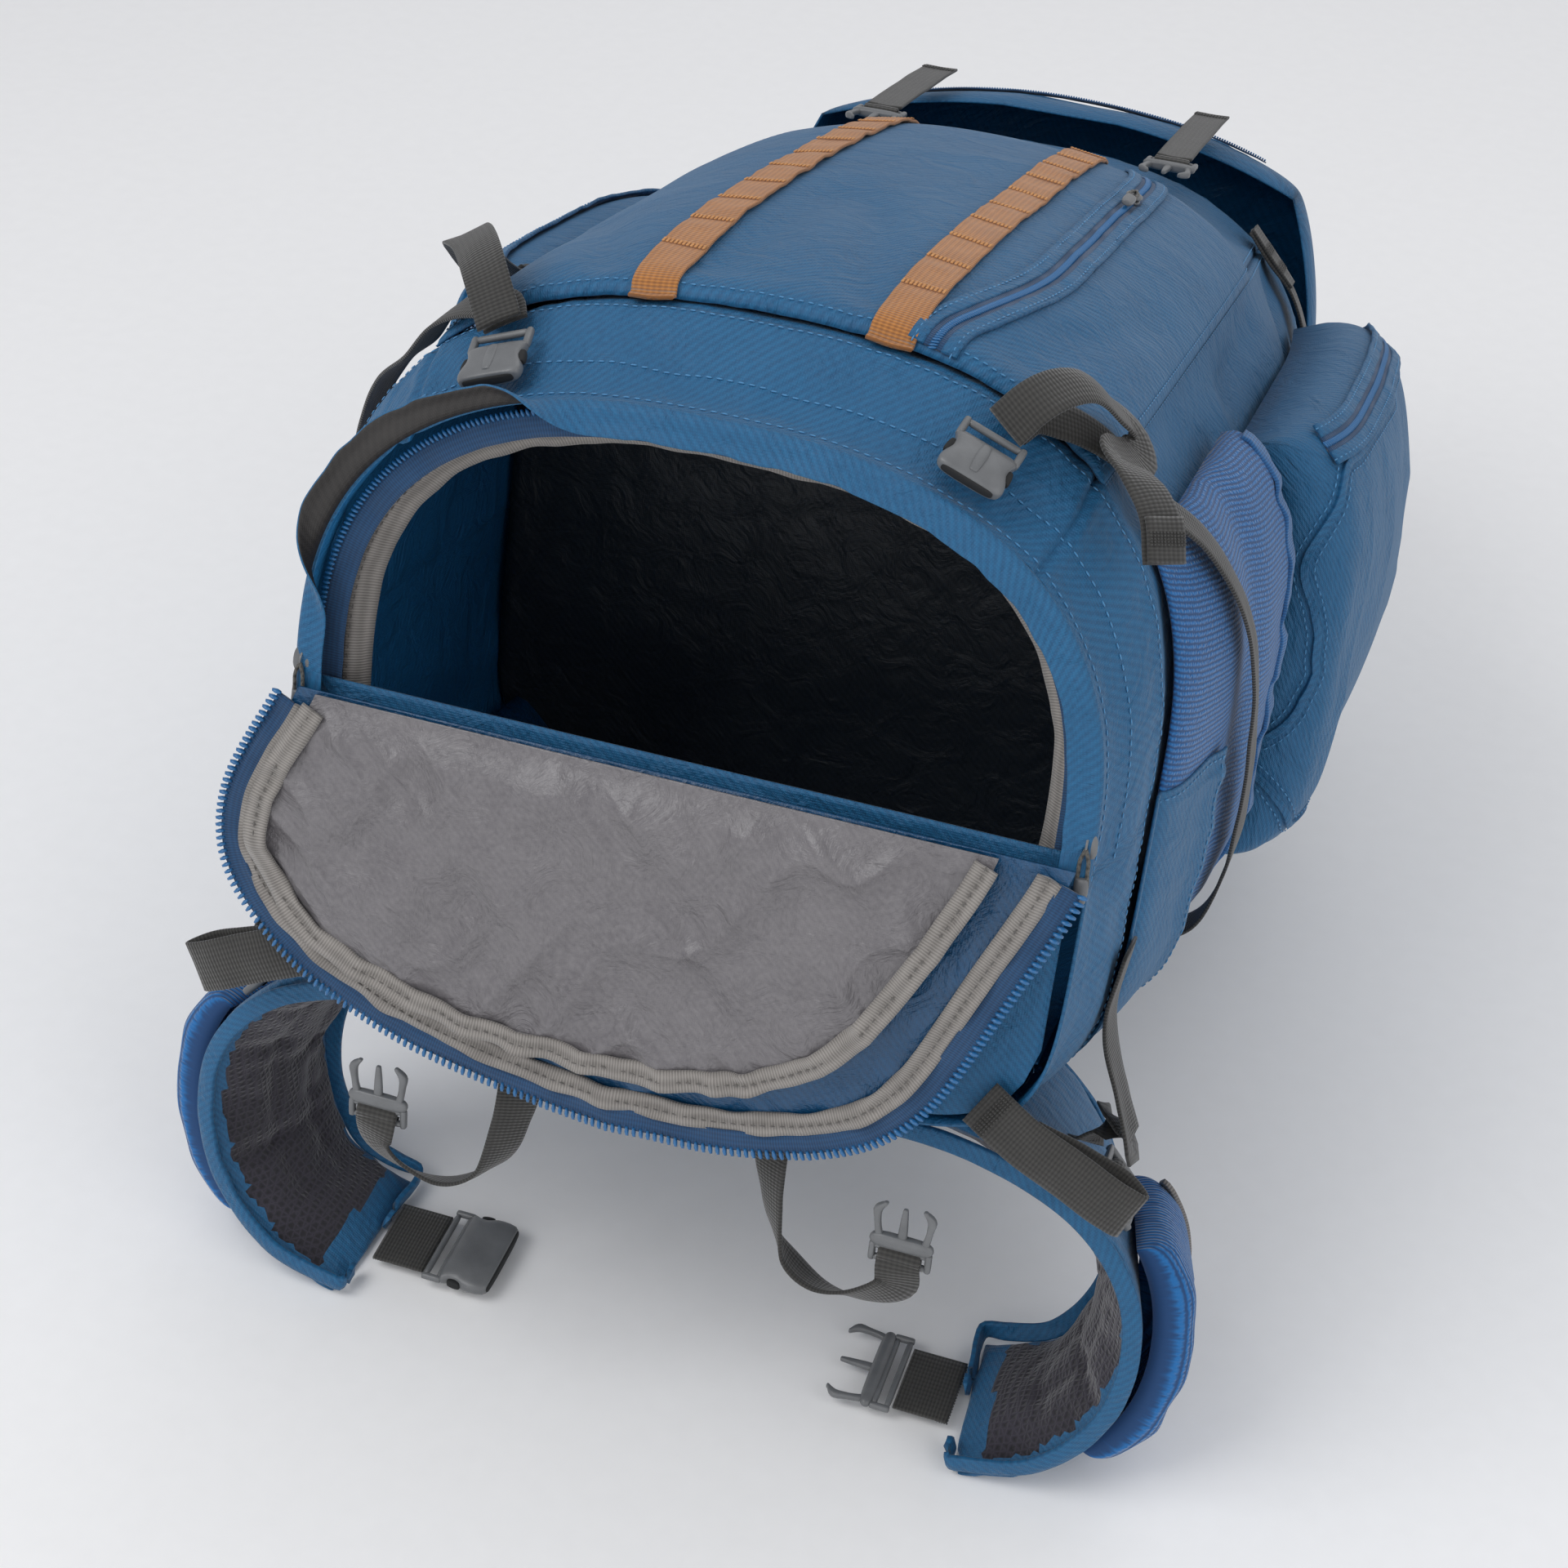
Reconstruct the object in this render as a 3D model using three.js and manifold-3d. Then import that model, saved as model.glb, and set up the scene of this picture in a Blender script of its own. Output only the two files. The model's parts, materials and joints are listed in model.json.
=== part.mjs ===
// A 65 litre hiking pack lying on its back, with its bottom door open.
// Pack frame: +X the wearer's right, +Y from the bottom end to the top, +Z from the back to the front.
// The whole pack leans so that it rests on its hip belt wings and on the bends of its shoulder straps.
import * as THREE from 'three';
import { mergeVertices } from 'three/addons/utils/BufferGeometryUtils.js';
import Module from 'manifold-3d';

const wasm = await Module();
wasm.setup();

// Overall sizes, mm
const BODY_WIDTH = 376;
const BODY_DEPTH = 296;
const BODY_LENGTH = 600;
const END_INSET = 11; // each side draws in this much at the bottom end
const FRONT_RISE = 28; // the front is deeper than the bottom end by this much
const TOP_DRAW = 14; // the front and sides draw in this much towards the top
const FRONT_ROUND = 2.5; // exponent of the section's front half: 2 is an ellipse
const BACK_ROUND = 6; // exponent of the section's back half: nearly square corners
const WALL = 4; // fabric, foam and lining together
const GAP = 0.5; // clearance between pieces that touch

const DOOR_SILL = 143; // height of the door's fold above the back
const DOOR_LENGTH = 168;
const DOOR_THICKNESS = 3;
const BOTTOM_BULGE = 4;
const BAND_LENGTH = 52; // hem of the door opening to the front seam
const DIVIDER_AT = 245;

const FRONT_POCKET_LENGTH = BODY_LENGTH - 200;
const FRONT_POCKET_RISE = 20;
const SIDE_POCKET_LENGTH = BODY_LENGTH - 310;
const SIDE_POCKET_START = BODY_LENGTH - SIDE_POCKET_LENGTH - 48;
const SIDE_POCKET_RISE = 64;
const BOTTLE_POCKET_START = 66;
const BOTTLE_POCKET_LENGTH = 180;
const BOTTLE_POCKET_RISE = 26;
const POCKET_WALL = 2.5;

const COLLAR_LENGTH = 58;
const COLLAR_DRAW = 0.72; // share of the section left at the gathered mouth
const CORD = 4;
const LID_WIDTH = BODY_WIDTH - 30;
const LID_DEPTH = BODY_DEPTH + 26;
const LID_START = BODY_LENGTH + 22;
const LID_RISE = 96;
const LID_CORNER = 0.3; // 0 is a square corner, 1 a round outline

const SHEET_WIDTH = 236;
const SHEET_LENGTH = BODY_LENGTH - 70;
const SHEET_THICKNESS = 2;
const STAY_WIDTH = 14;
const STAY_THICKNESS = 3;
const PAD_WIDTH = 250;
const PAD_LENGTH = 290;
const PAD_START = BODY_LENGTH - PAD_LENGTH - 48;
const PAD_THICKNESS = 22;
const LUMBAR_WIDTH = 190;

const WING_START = 16;
const WING_WIDTH = 116;
const WING_TIP_WIDTH = 84;
const WING_THICKNESS = 16;
const WING_DROP = 190; // lowest line of the wings below the back
const WING_SPREAD = 222; // furthest reach of a wing from the middle
const WING_CONE = 0.26; // a wing widens this much for each mm towards the bottom end

const SHOULDER_WIDTH = 62;
const SHOULDER_THICKNESS = 12;
const SHOULDER_OUT = 78; // middle of the strap from the middle of the pack, at the yoke
const SHOULDER_DROP = 60; // the bend's reach below the back
const SHOULDER_RUN = BODY_LENGTH / 2; // from the yoke down to the strap's lower end

const WEB = 20; // narrow webbing
const WIDE_WEB = 25;
const BELT_WEB = 38;
const WEB_THICKNESS = 1.6;
const BUCKLE_DEPTH = 8;

const V = (x = 0, y = 0, z = 0) => new THREE.Vector3(x, y, z);
const smooth = (t) => THREE.MathUtils.smoothstep(t, 0, 1);
const mix = THREE.MathUtils.lerp;

// ---------- solids ----------

// A curved sheet: surface(u, v) is its outer face, and it is `thickness` deep under that face.
function sheet(surface, rows, columns, thickness, ring = false) {
  const depth = typeof thickness === 'function' ? thickness : () => thickness;
  const outer = [];
  const inner = [];
  const across = ring ? columns : columns + 1;
  for (let i = 0; i <= rows; i++) {
    for (let j = 0; j < across; j++) {
      const u = i / rows;
      const v = j / columns;
      const point = surface(u, v);
      outer.push(point);
      inner.push(point.clone().addScaledVector(normalOf(surface, u, v), -depth(u, v)));
    }
  }
  const count = outer.length;
  const index = [];
  const quad = (a, b, c, d) => index.push(a, b, c, a, c, d);
  const at = (i, j) => i * across + (j % across);
  for (let i = 0; i < rows; i++) {
    for (let j = 0; j < columns; j++) {
      quad(at(i, j), at(i + 1, j), at(i + 1, j + 1), at(i, j + 1));
      quad(count + at(i, j), count + at(i, j + 1), count + at(i + 1, j + 1), count + at(i + 1, j));
    }
  }
  for (let j = 0; j < columns; j++) {
    quad(at(0, j), at(0, j + 1), count + at(0, j + 1), count + at(0, j));
    quad(at(rows, j + 1), at(rows, j), count + at(rows, j), count + at(rows, j + 1));
  }
  for (let i = 0; i < rows && !ring; i++) {
    quad(at(i + 1, 0), at(i, 0), count + at(i, 0), count + at(i + 1, 0));
    quad(at(i, columns), at(i + 1, columns), count + at(i + 1, columns), count + at(i, columns));
  }
  const geometry = new THREE.BufferGeometry();
  const flat = [...outer, ...inner].flatMap((p) => [p.x, p.y, p.z]);
  geometry.setAttribute('position', new THREE.Float32BufferAttribute(flat, 3));
  geometry.setIndex(index);
  return facingOut(geometry);
}

// Turns every triangle round if the solid is inside out.
function facingOut(geometry) {
  const place = geometry.attributes.position;
  const index = Array.from(geometry.index.array);
  const corner = (i) => V().fromBufferAttribute(place, index[i]);
  let volume = 0;
  for (let i = 0; i < index.length; i += 3) volume += corner(i).dot(corner(i + 1).cross(corner(i + 2)));
  if (volume < 0) for (let i = 0; i < index.length; i += 3) [index[i], index[i + 1]] = [index[i + 1], index[i]];
  return geometry.setIndex(index);
}

function normalOf(surface, u, v) {
  const step = 0.004;
  const alongU = surface(Math.min(u + step, 1), v).sub(surface(Math.max(u - step, 0), v));
  const alongV = surface(u, Math.min(v + step, 1)).sub(surface(u, Math.max(v - step, 0)));
  return alongU.cross(alongV).normalize();
}

// Webbing laid along points, with the direction that its outer face looks in at each point.
function webbing(points, faces, width, steps, thickness = WEB_THICKNESS) {
  const route = new THREE.CatmullRomCurve3(points, false, 'centripetal');
  const look = new THREE.CatmullRomCurve3(faces, false, 'centripetal');
  const surface = (u, v) => {
    const along = route.getTangent(u);
    const face = look.getPoint(u);
    face.addScaledVector(along, -face.dot(along)).normalize();
    const side = face.cross(along).normalize();
    return route.getPoint(u).addScaledVector(side, (v - 0.5) * width);
  };
  return sheet(surface, steps, 1, thickness);
}

function plate(outline, holes, depth) {
  const shape = new THREE.Shape(outline.map(([x, y]) => new THREE.Vector2(x, y)));
  holes.forEach((hole) => shape.holes.push(new THREE.Path(hole.map(([x, y]) => new THREE.Vector2(x, y)))));
  const geometry = new THREE.ExtrudeGeometry(shape, { depth, bevelEnabled: false });
  return geometry.translate(0, 0, -depth / 2);
}

function roundedPlate(width, length, depth, radius) {
  const shape = new THREE.Shape();
  const [a, b] = [width / 2, length / 2];
  const corners = [[a - radius, b - radius, 0], [radius - a, b - radius, 1],
    [radius - a, radius - b, 2], [a - radius, radius - b, 3]];
  corners.forEach(([x, y, turn]) =>
    shape.absarc(x, y, radius, (turn * Math.PI) / 2, ((turn + 1) * Math.PI) / 2, false));
  const geometry = new THREE.ExtrudeGeometry(shape, { depth, bevelEnabled: false, curveSegments: 5 });
  return geometry.translate(0, 0, -depth / 2);
}

const rectangle = (x0, y0, x1, y1) => [[x0, y0], [x1, y0], [x1, y1], [x0, y1]];

function solid(geometry) {
  const bare = geometry.clone();
  const extra = Object.keys(bare.attributes).filter((name) => name !== 'position');
  extra.forEach((name) => bare.deleteAttribute(name));
  const merged = mergeVertices(bare, 1e-4);
  return new wasm.Manifold(new wasm.Mesh({
    numProp: 3,
    vertProperties: new Float32Array(merged.attributes.position.array),
    triVerts: new Uint32Array(merged.index.array),
  }));
}

function cut(geometry, tools) {
  const result = tools.reduce((body, tool) => body.subtract(solid(tool)), solid(geometry)).getMesh();
  const out = new THREE.BufferGeometry();
  out.setAttribute('position', new THREE.Float32BufferAttribute(result.vertProperties, 3));
  out.setIndex(Array.from(result.triVerts));
  return out;
}

// Puts a piece made flat (length along y, face towards z) at a place.
function stand(geometry, place, along, face) {
  const y = along.clone().normalize();
  const x = y.clone().cross(face).normalize();
  const z = x.clone().cross(y);
  return geometry.applyMatrix4(new THREE.Matrix4().makeBasis(x, y, z).setPosition(place));
}

function mirrored(geometry) {
  const copy = geometry.clone().scale(-1, 1, 1);
  if (!copy.index) copy.setIndex([...Array(copy.attributes.position.count).keys()]);
  return facingOut(copy);
}

// ---------- body surface ----------

const halfWidth = (y) => BODY_WIDTH / 2 - END_INSET * (1 - smooth(y / 40)) - TOP_DRAW * smooth((y - 420) / 200);
const halfDepth = (y) =>
  (BODY_DEPTH + FRONT_RISE * smooth(y / 56) - TOP_DRAW * 1.5 * smooth((y - 420) / 200)) / 2;

function sectionPoint(y, angle, shrink = 1) {
  const [c, s] = [Math.cos(angle), Math.sin(angle)];
  const power = 2 / (s >= 0 ? FRONT_ROUND : BACK_ROUND);
  const x = halfWidth(y) * Math.sign(c) * Math.abs(c) ** power;
  const z = halfDepth(y) * Math.sign(s) * Math.abs(s) ** power;
  return V(x * shrink, y, halfDepth(y) + z * shrink);
}

// Angles at even steps round the section: 0 is the middle of the back, 0.25 the right side, 0.5 the front.
const evenAngles = (() => {
  const fine = 1440;
  const lengths = [0];
  const angleAt = (i) => -Math.PI / 2 + (i / fine) * 2 * Math.PI;
  for (let i = 1; i <= fine; i++) {
    const step = sectionPoint(300, angleAt(i)).distanceTo(sectionPoint(300, angleAt(i - 1)));
    lengths.push(lengths[i - 1] + step);
  }
  return (share) => {
    const wanted = THREE.MathUtils.clamp(share, 0, 1) * lengths[fine];
    let i = lengths.findIndex((length) => length >= wanted);
    i = Math.max(i, 1);
    const part = (wanted - lengths[i - 1]) / (lengths[i] - lengths[i - 1]);
    return angleAt(i - 1 + part);
  };
})();

function outwards(y, round) {
  const step = 0.002;
  const before = sectionPoint(y, evenAngles(Math.max(round - step, 0)));
  const after = sectionPoint(y, evenAngles(Math.min(round + step, 1)));
  const below = sectionPoint(Math.max(y - 2, 0), evenAngles(round));
  const above = sectionPoint(y + 2, evenAngles(round));
  return above.sub(below).cross(after.sub(before)).normalize();
}

// A place on the body's outer face, raised by `lift`.
const skin = (y, round, lift = 0) =>
  sectionPoint(y, evenAngles(round)).addScaledVector(outwards(y, round), lift);

const wallPanel = (y0, y1, round0, round1, rows, columns) =>
  sheet((u, v) => skin(mix(y0, y1, u), mix(round0, round1, v)), rows, columns, WALL);

const POCKET_BASE = POCKET_WALL + GAP;
const swell = (t, power) => (1 - Math.abs(2 * t - 1) ** power) ** (1 / power);

function pouch(y0, y1, round0, round1, rise, power, rows, columns) {
  const surface = (u, v) =>
    skin(mix(y0, y1, u), mix(round0, round1, v), POCKET_BASE + rise * swell(u, power) * swell(v, power));
  return sheet(surface, rows, columns, POCKET_WALL);
}

// ---------- main bag ----------

const SIDE_FROM = 0.135; // where the side panel meets the back panel
const SIDE_TO = 0.375; // where the side panel meets the front panel
const SEAM = 0.0006; // half of the gap at a seam, as a share of the way round

const backPanel = () =>
  sheet((u, v) => {
    const round = mix(-SIDE_FROM + SEAM, SIDE_FROM - SEAM, v);
    return round < 0 ? skinLeft(mix(0, BODY_LENGTH, u), -round) : skin(mix(0, BODY_LENGTH, u), round);
  }, 8, 12, WALL);
const skinLeft = (y, round) => {
  const point = skin(y, round);
  return V(-point.x, point.y, point.z);
};
const sidePanelRight = () =>
  wallPanel(BAND_LENGTH + GAP, BODY_LENGTH, SIDE_FROM + SEAM, SIDE_TO - SEAM, 8, 10);
const frontPanel = () =>
  wallPanel(BAND_LENGTH + GAP, BODY_LENGTH, SIDE_TO + SEAM, 1 - SIDE_TO - SEAM, 8, 10);
const lowerBand = () => wallPanel(0, BAND_LENGTH, SIDE_FROM + SEAM, 1 - SIDE_FROM - SEAM, 3, 32);

// A flat panel that fills the section inside the walls, from `low` to `high` of its half depth.
function crossPanel(y, low, high, bulge, thickness) {
  const inset = WALL + GAP + 0.5;
  const a = halfWidth(y) - inset;
  const b = halfDepth(y) - inset;
  const reach = (t, power) => (1 - Math.abs(t) ** power) ** (1 / power);
  const edge = 0.985;
  const surface = (u, v) => {
    const t = mix(-edge, edge, v);
    const bottom = Math.max(low, -reach(t, BACK_ROUND));
    const top = Math.min(high, reach(t, FRONT_ROUND));
    const height = mix(bottom, top, u);
    const round = (1 - t * t) * (1 - ((u - 0.5) * 2) ** 2);
    return V(t * a, y - bulge * round, halfDepth(y) + height * b);
  };
  return sheet(surface, 6, 16, thickness);
}

const sillShare = (DOOR_SILL - halfDepth(0)) / (halfDepth(0) - WALL - GAP - 0.5);
const bottomPanel = () => crossPanel(1, -1, sillShare, BOTTOM_BULGE, -WALL);
const dividerPanel = () => crossPanel(DIVIDER_AT, -0.86, 1, 0, 2);

const frameSheet = () => roundedPlate(SHEET_WIDTH, SHEET_LENGTH, SHEET_THICKNESS, 24);
const SHEET_Z = WALL + 4 + SHEET_THICKNESS / 2;
const STAY_Z = SHEET_Z + SHEET_THICKNESS / 2 + GAP + STAY_THICKNESS / 2;

// A flat bar bent to an upside down U, standing on the frame sheet.
function frameStay() {
  const [w, h] = [SHEET_WIDTH / 2 - 14, SHEET_LENGTH - 40];
  const bend = 50;
  const outline = new THREE.Shape();
  outline.moveTo(w, -h / 2);
  outline.lineTo(w, h / 2 - bend);
  outline.absarc(w - bend, h / 2 - bend, bend, 0, Math.PI / 2, false);
  outline.absarc(bend - w, h / 2 - bend, bend, Math.PI / 2, Math.PI, false);
  outline.lineTo(-w, -h / 2);
  outline.lineTo(STAY_WIDTH - w, -h / 2);
  outline.absarc(bend - w, h / 2 - bend, bend - STAY_WIDTH, Math.PI, Math.PI / 2, true);
  outline.absarc(w - bend, h / 2 - bend, bend - STAY_WIDTH, Math.PI / 2, 0, true);
  outline.lineTo(w - STAY_WIDTH, -h / 2);
  return new THREE.ExtrudeGeometry(outline, { depth: STAY_THICKNESS, bevelEnabled: false, curveSegments: 6 })
    .translate(0, 0, -STAY_THICKNESS / 2);
}

const backPad = () => roundedPlate(PAD_WIDTH, PAD_LENGTH, PAD_THICKNESS, 36);
const lumbarPad = () => roundedPlate(LUMBAR_WIDTH, WING_WIDTH, PAD_THICKNESS, 12);

// ---------- pockets ----------

const FRONT_EDGE = 0.372;
const frontPocketStart = BAND_LENGTH + 3;
const frontLift = (y, round) =>
  POCKET_BASE + FRONT_POCKET_RISE * swell((y - frontPocketStart) / FRONT_POCKET_LENGTH, 2.6)
  * swell((round - FRONT_EDGE) / (1 - 2 * FRONT_EDGE), 2.6);
const frontPocket = () =>
  pouch(frontPocketStart, frontPocketStart + FRONT_POCKET_LENGTH, FRONT_EDGE, 1 - FRONT_EDGE,
    FRONT_POCKET_RISE, 2.6, 12, 12);

const SIDE_POCKET_FROM = 0.165;
const SIDE_POCKET_TO = 0.335;
const sidePocket = () =>
  pouch(SIDE_POCKET_START, SIDE_POCKET_START + SIDE_POCKET_LENGTH, SIDE_POCKET_FROM, SIDE_POCKET_TO,
    SIDE_POCKET_RISE, 5, 13, 10);

// Stretch pocket: closed at the bottom end, open at its mouth.
const BOTTLE_FROM = 0.15;
const BOTTLE_TO = 0.345;
const bottleLift = (y, round) => {
  const u = THREE.MathUtils.clamp((y - BOTTLE_POCKET_START) / BOTTLE_POCKET_LENGTH, 0, 1);
  const v = THREE.MathUtils.clamp((round - BOTTLE_FROM) / (BOTTLE_TO - BOTTLE_FROM), 0, 1);
  return POCKET_BASE + 0.3 + BOTTLE_POCKET_RISE * Math.sin((u * Math.PI) / 2) ** 0.6 * swell(v, 2.6);
};
const bottlePocket = () =>
  sheet((u, v) => {
    const y = BOTTLE_POCKET_START + BOTTLE_POCKET_LENGTH * u;
    const round = mix(BOTTLE_FROM, BOTTLE_TO, v);
    return skin(y, round, bottleLift(y, round));
  }, 8, 12, POCKET_WALL);

// ---------- webbing on the body ----------

const onBody = (places) => [places.map(([y, round, lift]) => skin(y, round, lift)),
  places.map(([y, round]) => outwards(y, round))];
const LAID = WEB_THICKNESS + GAP;

const DAISY_ROUND = 0.458;
function daisyChain() {
  const ends = [frontPocketStart + 8, frontPocketStart + FRONT_POCKET_LENGTH - 8];
  const places = [...Array(13).keys()].map((i) => {
    const y = mix(...ends, i / 12);
    return [y, DAISY_ROUND, frontLift(y, DAISY_ROUND) + LAID + 0.6];
  });
  return webbing(...onBody(places), WEB, 24);
}

// Front seam, over the stretch pocket, to the seam beside the back.
function lowerCompressionStrap() {
  const places = [[37.5, 0.411, 6], [46, 0.407, 7.5], [54, 0.395, 9], [66, 0.378, 10.5]];
  const pocketPlaces = [[84, 0.355], [102, 0.335], [122, 0.31], [144, 0.28], [162, 0.25], [176, 0.22],
    [186, 0.19], [192, 0.165]];
  pocketPlaces.forEach(([y, round]) => places.push([y, round, bottleLift(y, round) + LAID + 3]));
  places.push([196, 0.145, LAID + 5]);
  return webbing(...onBody(places), WEB, 28);
}

function upperCompressionStrap() {
  const fromTop = [
    [-22, 0.385], [-23, 0.35], [-24, 0.31], [-25, 0.27], [-26, 0.22], [-27, 0.18], [-28, 0.15],
  ];
  const places = fromTop.map(([y, round]) => [BODY_LENGTH + y, round, 6]);
  return webbing(...onBody(places), WIDE_WEB, 16);
}

// ---------- buckles ----------

const BUCKLE_WIDTH = WEB + 10;

function femaleBuckle() {
  const [w, length] = [BUCKLE_WIDTH / 2, 30];
  const outline = [[-w, 0], [-w, 9], [-w + 2.5, 12], [-w + 2.5, 20], [-w, 23], [-w + 1, length],
    [w - 1, length], [w, 23], [w - 2.5, 20], [w - 2.5, 12], [w, 9], [w, 0]];
  const body = plate(outline, [rectangle(-WEB / 2 - 1, 3, WEB / 2 + 1, 7.5)], BUCKLE_DEPTH);
  const socket = new THREE.BoxGeometry(BUCKLE_WIDTH - 7, 20, BUCKLE_DEPTH - 3.4).translate(0, length - 9, 0);
  return cut(body, [socket]);
}

function maleBuckle() {
  const w = BUCKLE_WIDTH / 2;
  const outline = [[-w, 0], [-w, 13], [-w + 3, 15], [-w + 2.6, 28], [-w + 5, 33], [-w + 8, 30],
    [-w + 6.5, 16], [-2.4, 16], [-2.4, 32], [2.4, 32], [2.4, 16], [w - 6.5, 16], [w - 8, 30],
    [w - 5, 33], [w - 2.6, 28], [w - 3, 15], [w, 13], [w, 0]];
  return plate(outline, [rectangle(-WEB / 2 - 1, 2.5, WEB / 2 + 1, 5.5),
    rectangle(-WEB / 2 - 1, 8.5, WEB / 2 + 1, 11.5)], BUCKLE_DEPTH - 4);
}

// Frame with two bars that webbing is threaded round.
function ladderLock(web) {
  const [w, length] = [web / 2 + 5, 28];
  const outline = [[-w, 2], [-w, length - 5], [-w + 3, length], [w - 3, length], [w, length - 5], [w, 2],
    [w - 2, 0], [2 - w, 0]];
  const holes = [rectangle(-web / 2 - 1, 3.5, web / 2 + 1, 8.5), rectangle(-web / 2 - 1, 12, web / 2 + 1, 17),
    rectangle(-web / 2 - 1, 20.5, web / 2 + 1, 24.5)];
  return plate(outline, holes, 5);
}

function beltBuckle(male) {
  const w = BELT_WEB / 2 + 7;
  const slots = [rectangle(-BELT_WEB / 2 - 1, 3, BELT_WEB / 2 + 1, 7)];
  if (!male) {
    const body = plate([[-w, 0], [-w, 34], [3 - w, 38], [w - 3, 38], [w, 34], [w, 0]], slots, 11);
    return cut(body, [new THREE.BoxGeometry(2 * w - 9, 26, 6.5).translate(0, 27, 0)]);
  }
  const outline = [[-w, 0], [-w, 12], [4 - w, 15], [4.5 - w, 30], [8 - w, 36], [12 - w, 32], [10 - w, 16],
    [-3, 16], [-3, 34], [3, 34], [3, 16], [w - 10, 16], [w - 12, 32], [w - 8, 36], [w - 4.5, 30],
    [w - 4, 15], [w, 12], [w, 0]];
  return plate(outline, slots, 6);
}

const zipSlider = () => plate([[-4, 0], [-5, 5], [-4, 11], [4, 11], [5, 5], [4, 0]], [], 5);

// ---------- door ----------

const DOOR_FOLD_Y = -BOTTOM_BULGE - 3;
const doorHalf = (t) => {
  const width = halfWidth(0) - 5;
  return width * (1 - Math.max(0, t) ** 3.2) ** (1 / 2.4);
};
// The open door hangs from its fold, down over the bottom panel.
const doorFlap = () =>
  sheet((u, v) => {
    const half = Math.max(doorHalf(u * 0.985), 30);
    const hang = DOOR_LENGTH * u;
    const out = 3 * Math.sin(Math.PI * Math.min(u * 1.15, 1));
    return V(mix(-half, half, v), DOOR_FOLD_Y - DOOR_THICKNESS - out, DOOR_SILL - hang);
  }, 10, 12, DOOR_THICKNESS);

// ---------- bottom straps ----------

const PAD_STRAP_OUT = 125; // where the free end with its buckle hangs
const PAD_STRAP_SPAN = 66; // from there to the sewn end, towards the middle
const PAD_STRAP_DROP = 90;
// Sewn to the bottom edge, it hangs in a loop and comes up again to its buckle.
function padStrap() {
  const [outer, inner, low] = [PAD_STRAP_OUT, PAD_STRAP_OUT - PAD_STRAP_SPAN, -PAD_STRAP_DROP];
  const points = [V(inner, 7, -GAP - 1.5), V(inner, 2, -18), V(inner + 3, 0, low * 0.55),
    V(inner + 14, -1, low * 0.88), V((inner + outer) / 2, -3, low), V(outer - 13, -5, low * 0.96),
    V(outer, -6, low * 0.85)];
  const faces = [V(0, -1, -0.2), V(0, -1, 0), V(-0.3, -1, 0), V(-0.6, -0.7, -0.6), V(0, -0.2, -1),
    V(0.6, -0.7, -0.5), V(0, -1, 0)];
  return webbing(points, faces, WEB, 24);
}

// ---------- harness ----------

const PAD_Z = -2 - PAD_THICKNESS / 2;
const lumbarEdge = LUMBAR_WIDTH / 2 + 2.5;
const wingLine = new THREE.CatmullRomCurve3([
  V(lumbarEdge, 0, -4), V(lumbarEdge + 50, 0, -9), V(WING_SPREAD - 28, 0, -36), V(WING_SPREAD, 0, -86),
  V(WING_SPREAD - 2, 0, -138), V(WING_SPREAD - 28, 0, 14 - WING_DROP), V(WING_SPREAD - 70, 0, -WING_DROP),
], false, 'centripetal');
const wingMiddle = WING_START + WING_WIDTH / 2;

// Outer face of the right wing: u from the lumbar pad to the tip, v from the bottom edge to the top edge.
function wingPoint(u, v, lift = 0) {
  const point = wingLine.getPointAt(u);
  const along = wingLine.getTangentAt(u);
  const out = V(-along.z, 0, along.x);
  const width = mix(WING_WIDTH, WING_TIP_WIDTH, smooth(u));
  const fromMiddle = (v - 0.5) * width;
  const cone = WING_CONE * smooth((u - 0.12) / 0.4);
  point.addScaledVector(out, lift - fromMiddle * cone);
  point.y = wingMiddle + fromMiddle;
  return point;
}
const edgeRound = (t, depth) => Math.min(1, depth + (1 - depth) * Math.sin(Math.PI * t) ** 0.5);
const hipWing = () =>
  sheet((u, v) => wingPoint(u, v), 18, 6,
    (u, v) => WING_THICKNESS * edgeRound(v, 0.45) * edgeRound(mix(0.1, 1, u), 0.6));

const HIP_POCKET_RISE = 22;
const hipPocket = () =>
  sheet((u, v) => {
    const along = mix(0.44, 0.8, u);
    const over = mix(0.14, 0.86, v);
    return wingPoint(along, over, POCKET_BASE + HIP_POCKET_RISE * swell(u, 4) * swell(v, 4));
  }, 10, 8, POCKET_WALL);

const tipPoint = wingLine.getPointAt(1);
const BELT_TAIL = 30;
const beltY = wingMiddle;
function hipWebbing() {
  const z = tipPoint.z + WING_THICKNESS * 0.45;
  const points = [5, BELT_TAIL / 2, BELT_TAIL].map((reach) => V(tipPoint.x - reach, beltY, z));
  return webbing(points, Array(3).fill(V(0, WING_CONE, -1)), BELT_WEB, 4, 2);
}

const shoulderRoot = V(SHOULDER_OUT, PAD_START + PAD_LENGTH + 12, -8);
const shoulderLine = new THREE.CatmullRomCurve3([
  shoulderRoot, V(SHOULDER_OUT + 1, shoulderRoot.y + 22, -16), V(SHOULDER_OUT + 4, shoulderRoot.y + 30, -36),
  V(SHOULDER_OUT + 9, shoulderRoot.y + 16, -SHOULDER_DROP),
  V(SHOULDER_OUT + 18, shoulderRoot.y - SHOULDER_RUN / 6, -SHOULDER_DROP - 4),
  V(SHOULDER_OUT + 30, shoulderRoot.y - SHOULDER_RUN / 2, -SHOULDER_DROP),
  V(SHOULDER_OUT + 32, shoulderRoot.y - SHOULDER_RUN * 0.8, -50),
  V(SHOULDER_OUT + 26, shoulderRoot.y - SHOULDER_RUN, -44),
], false, 'centripetal');
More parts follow.
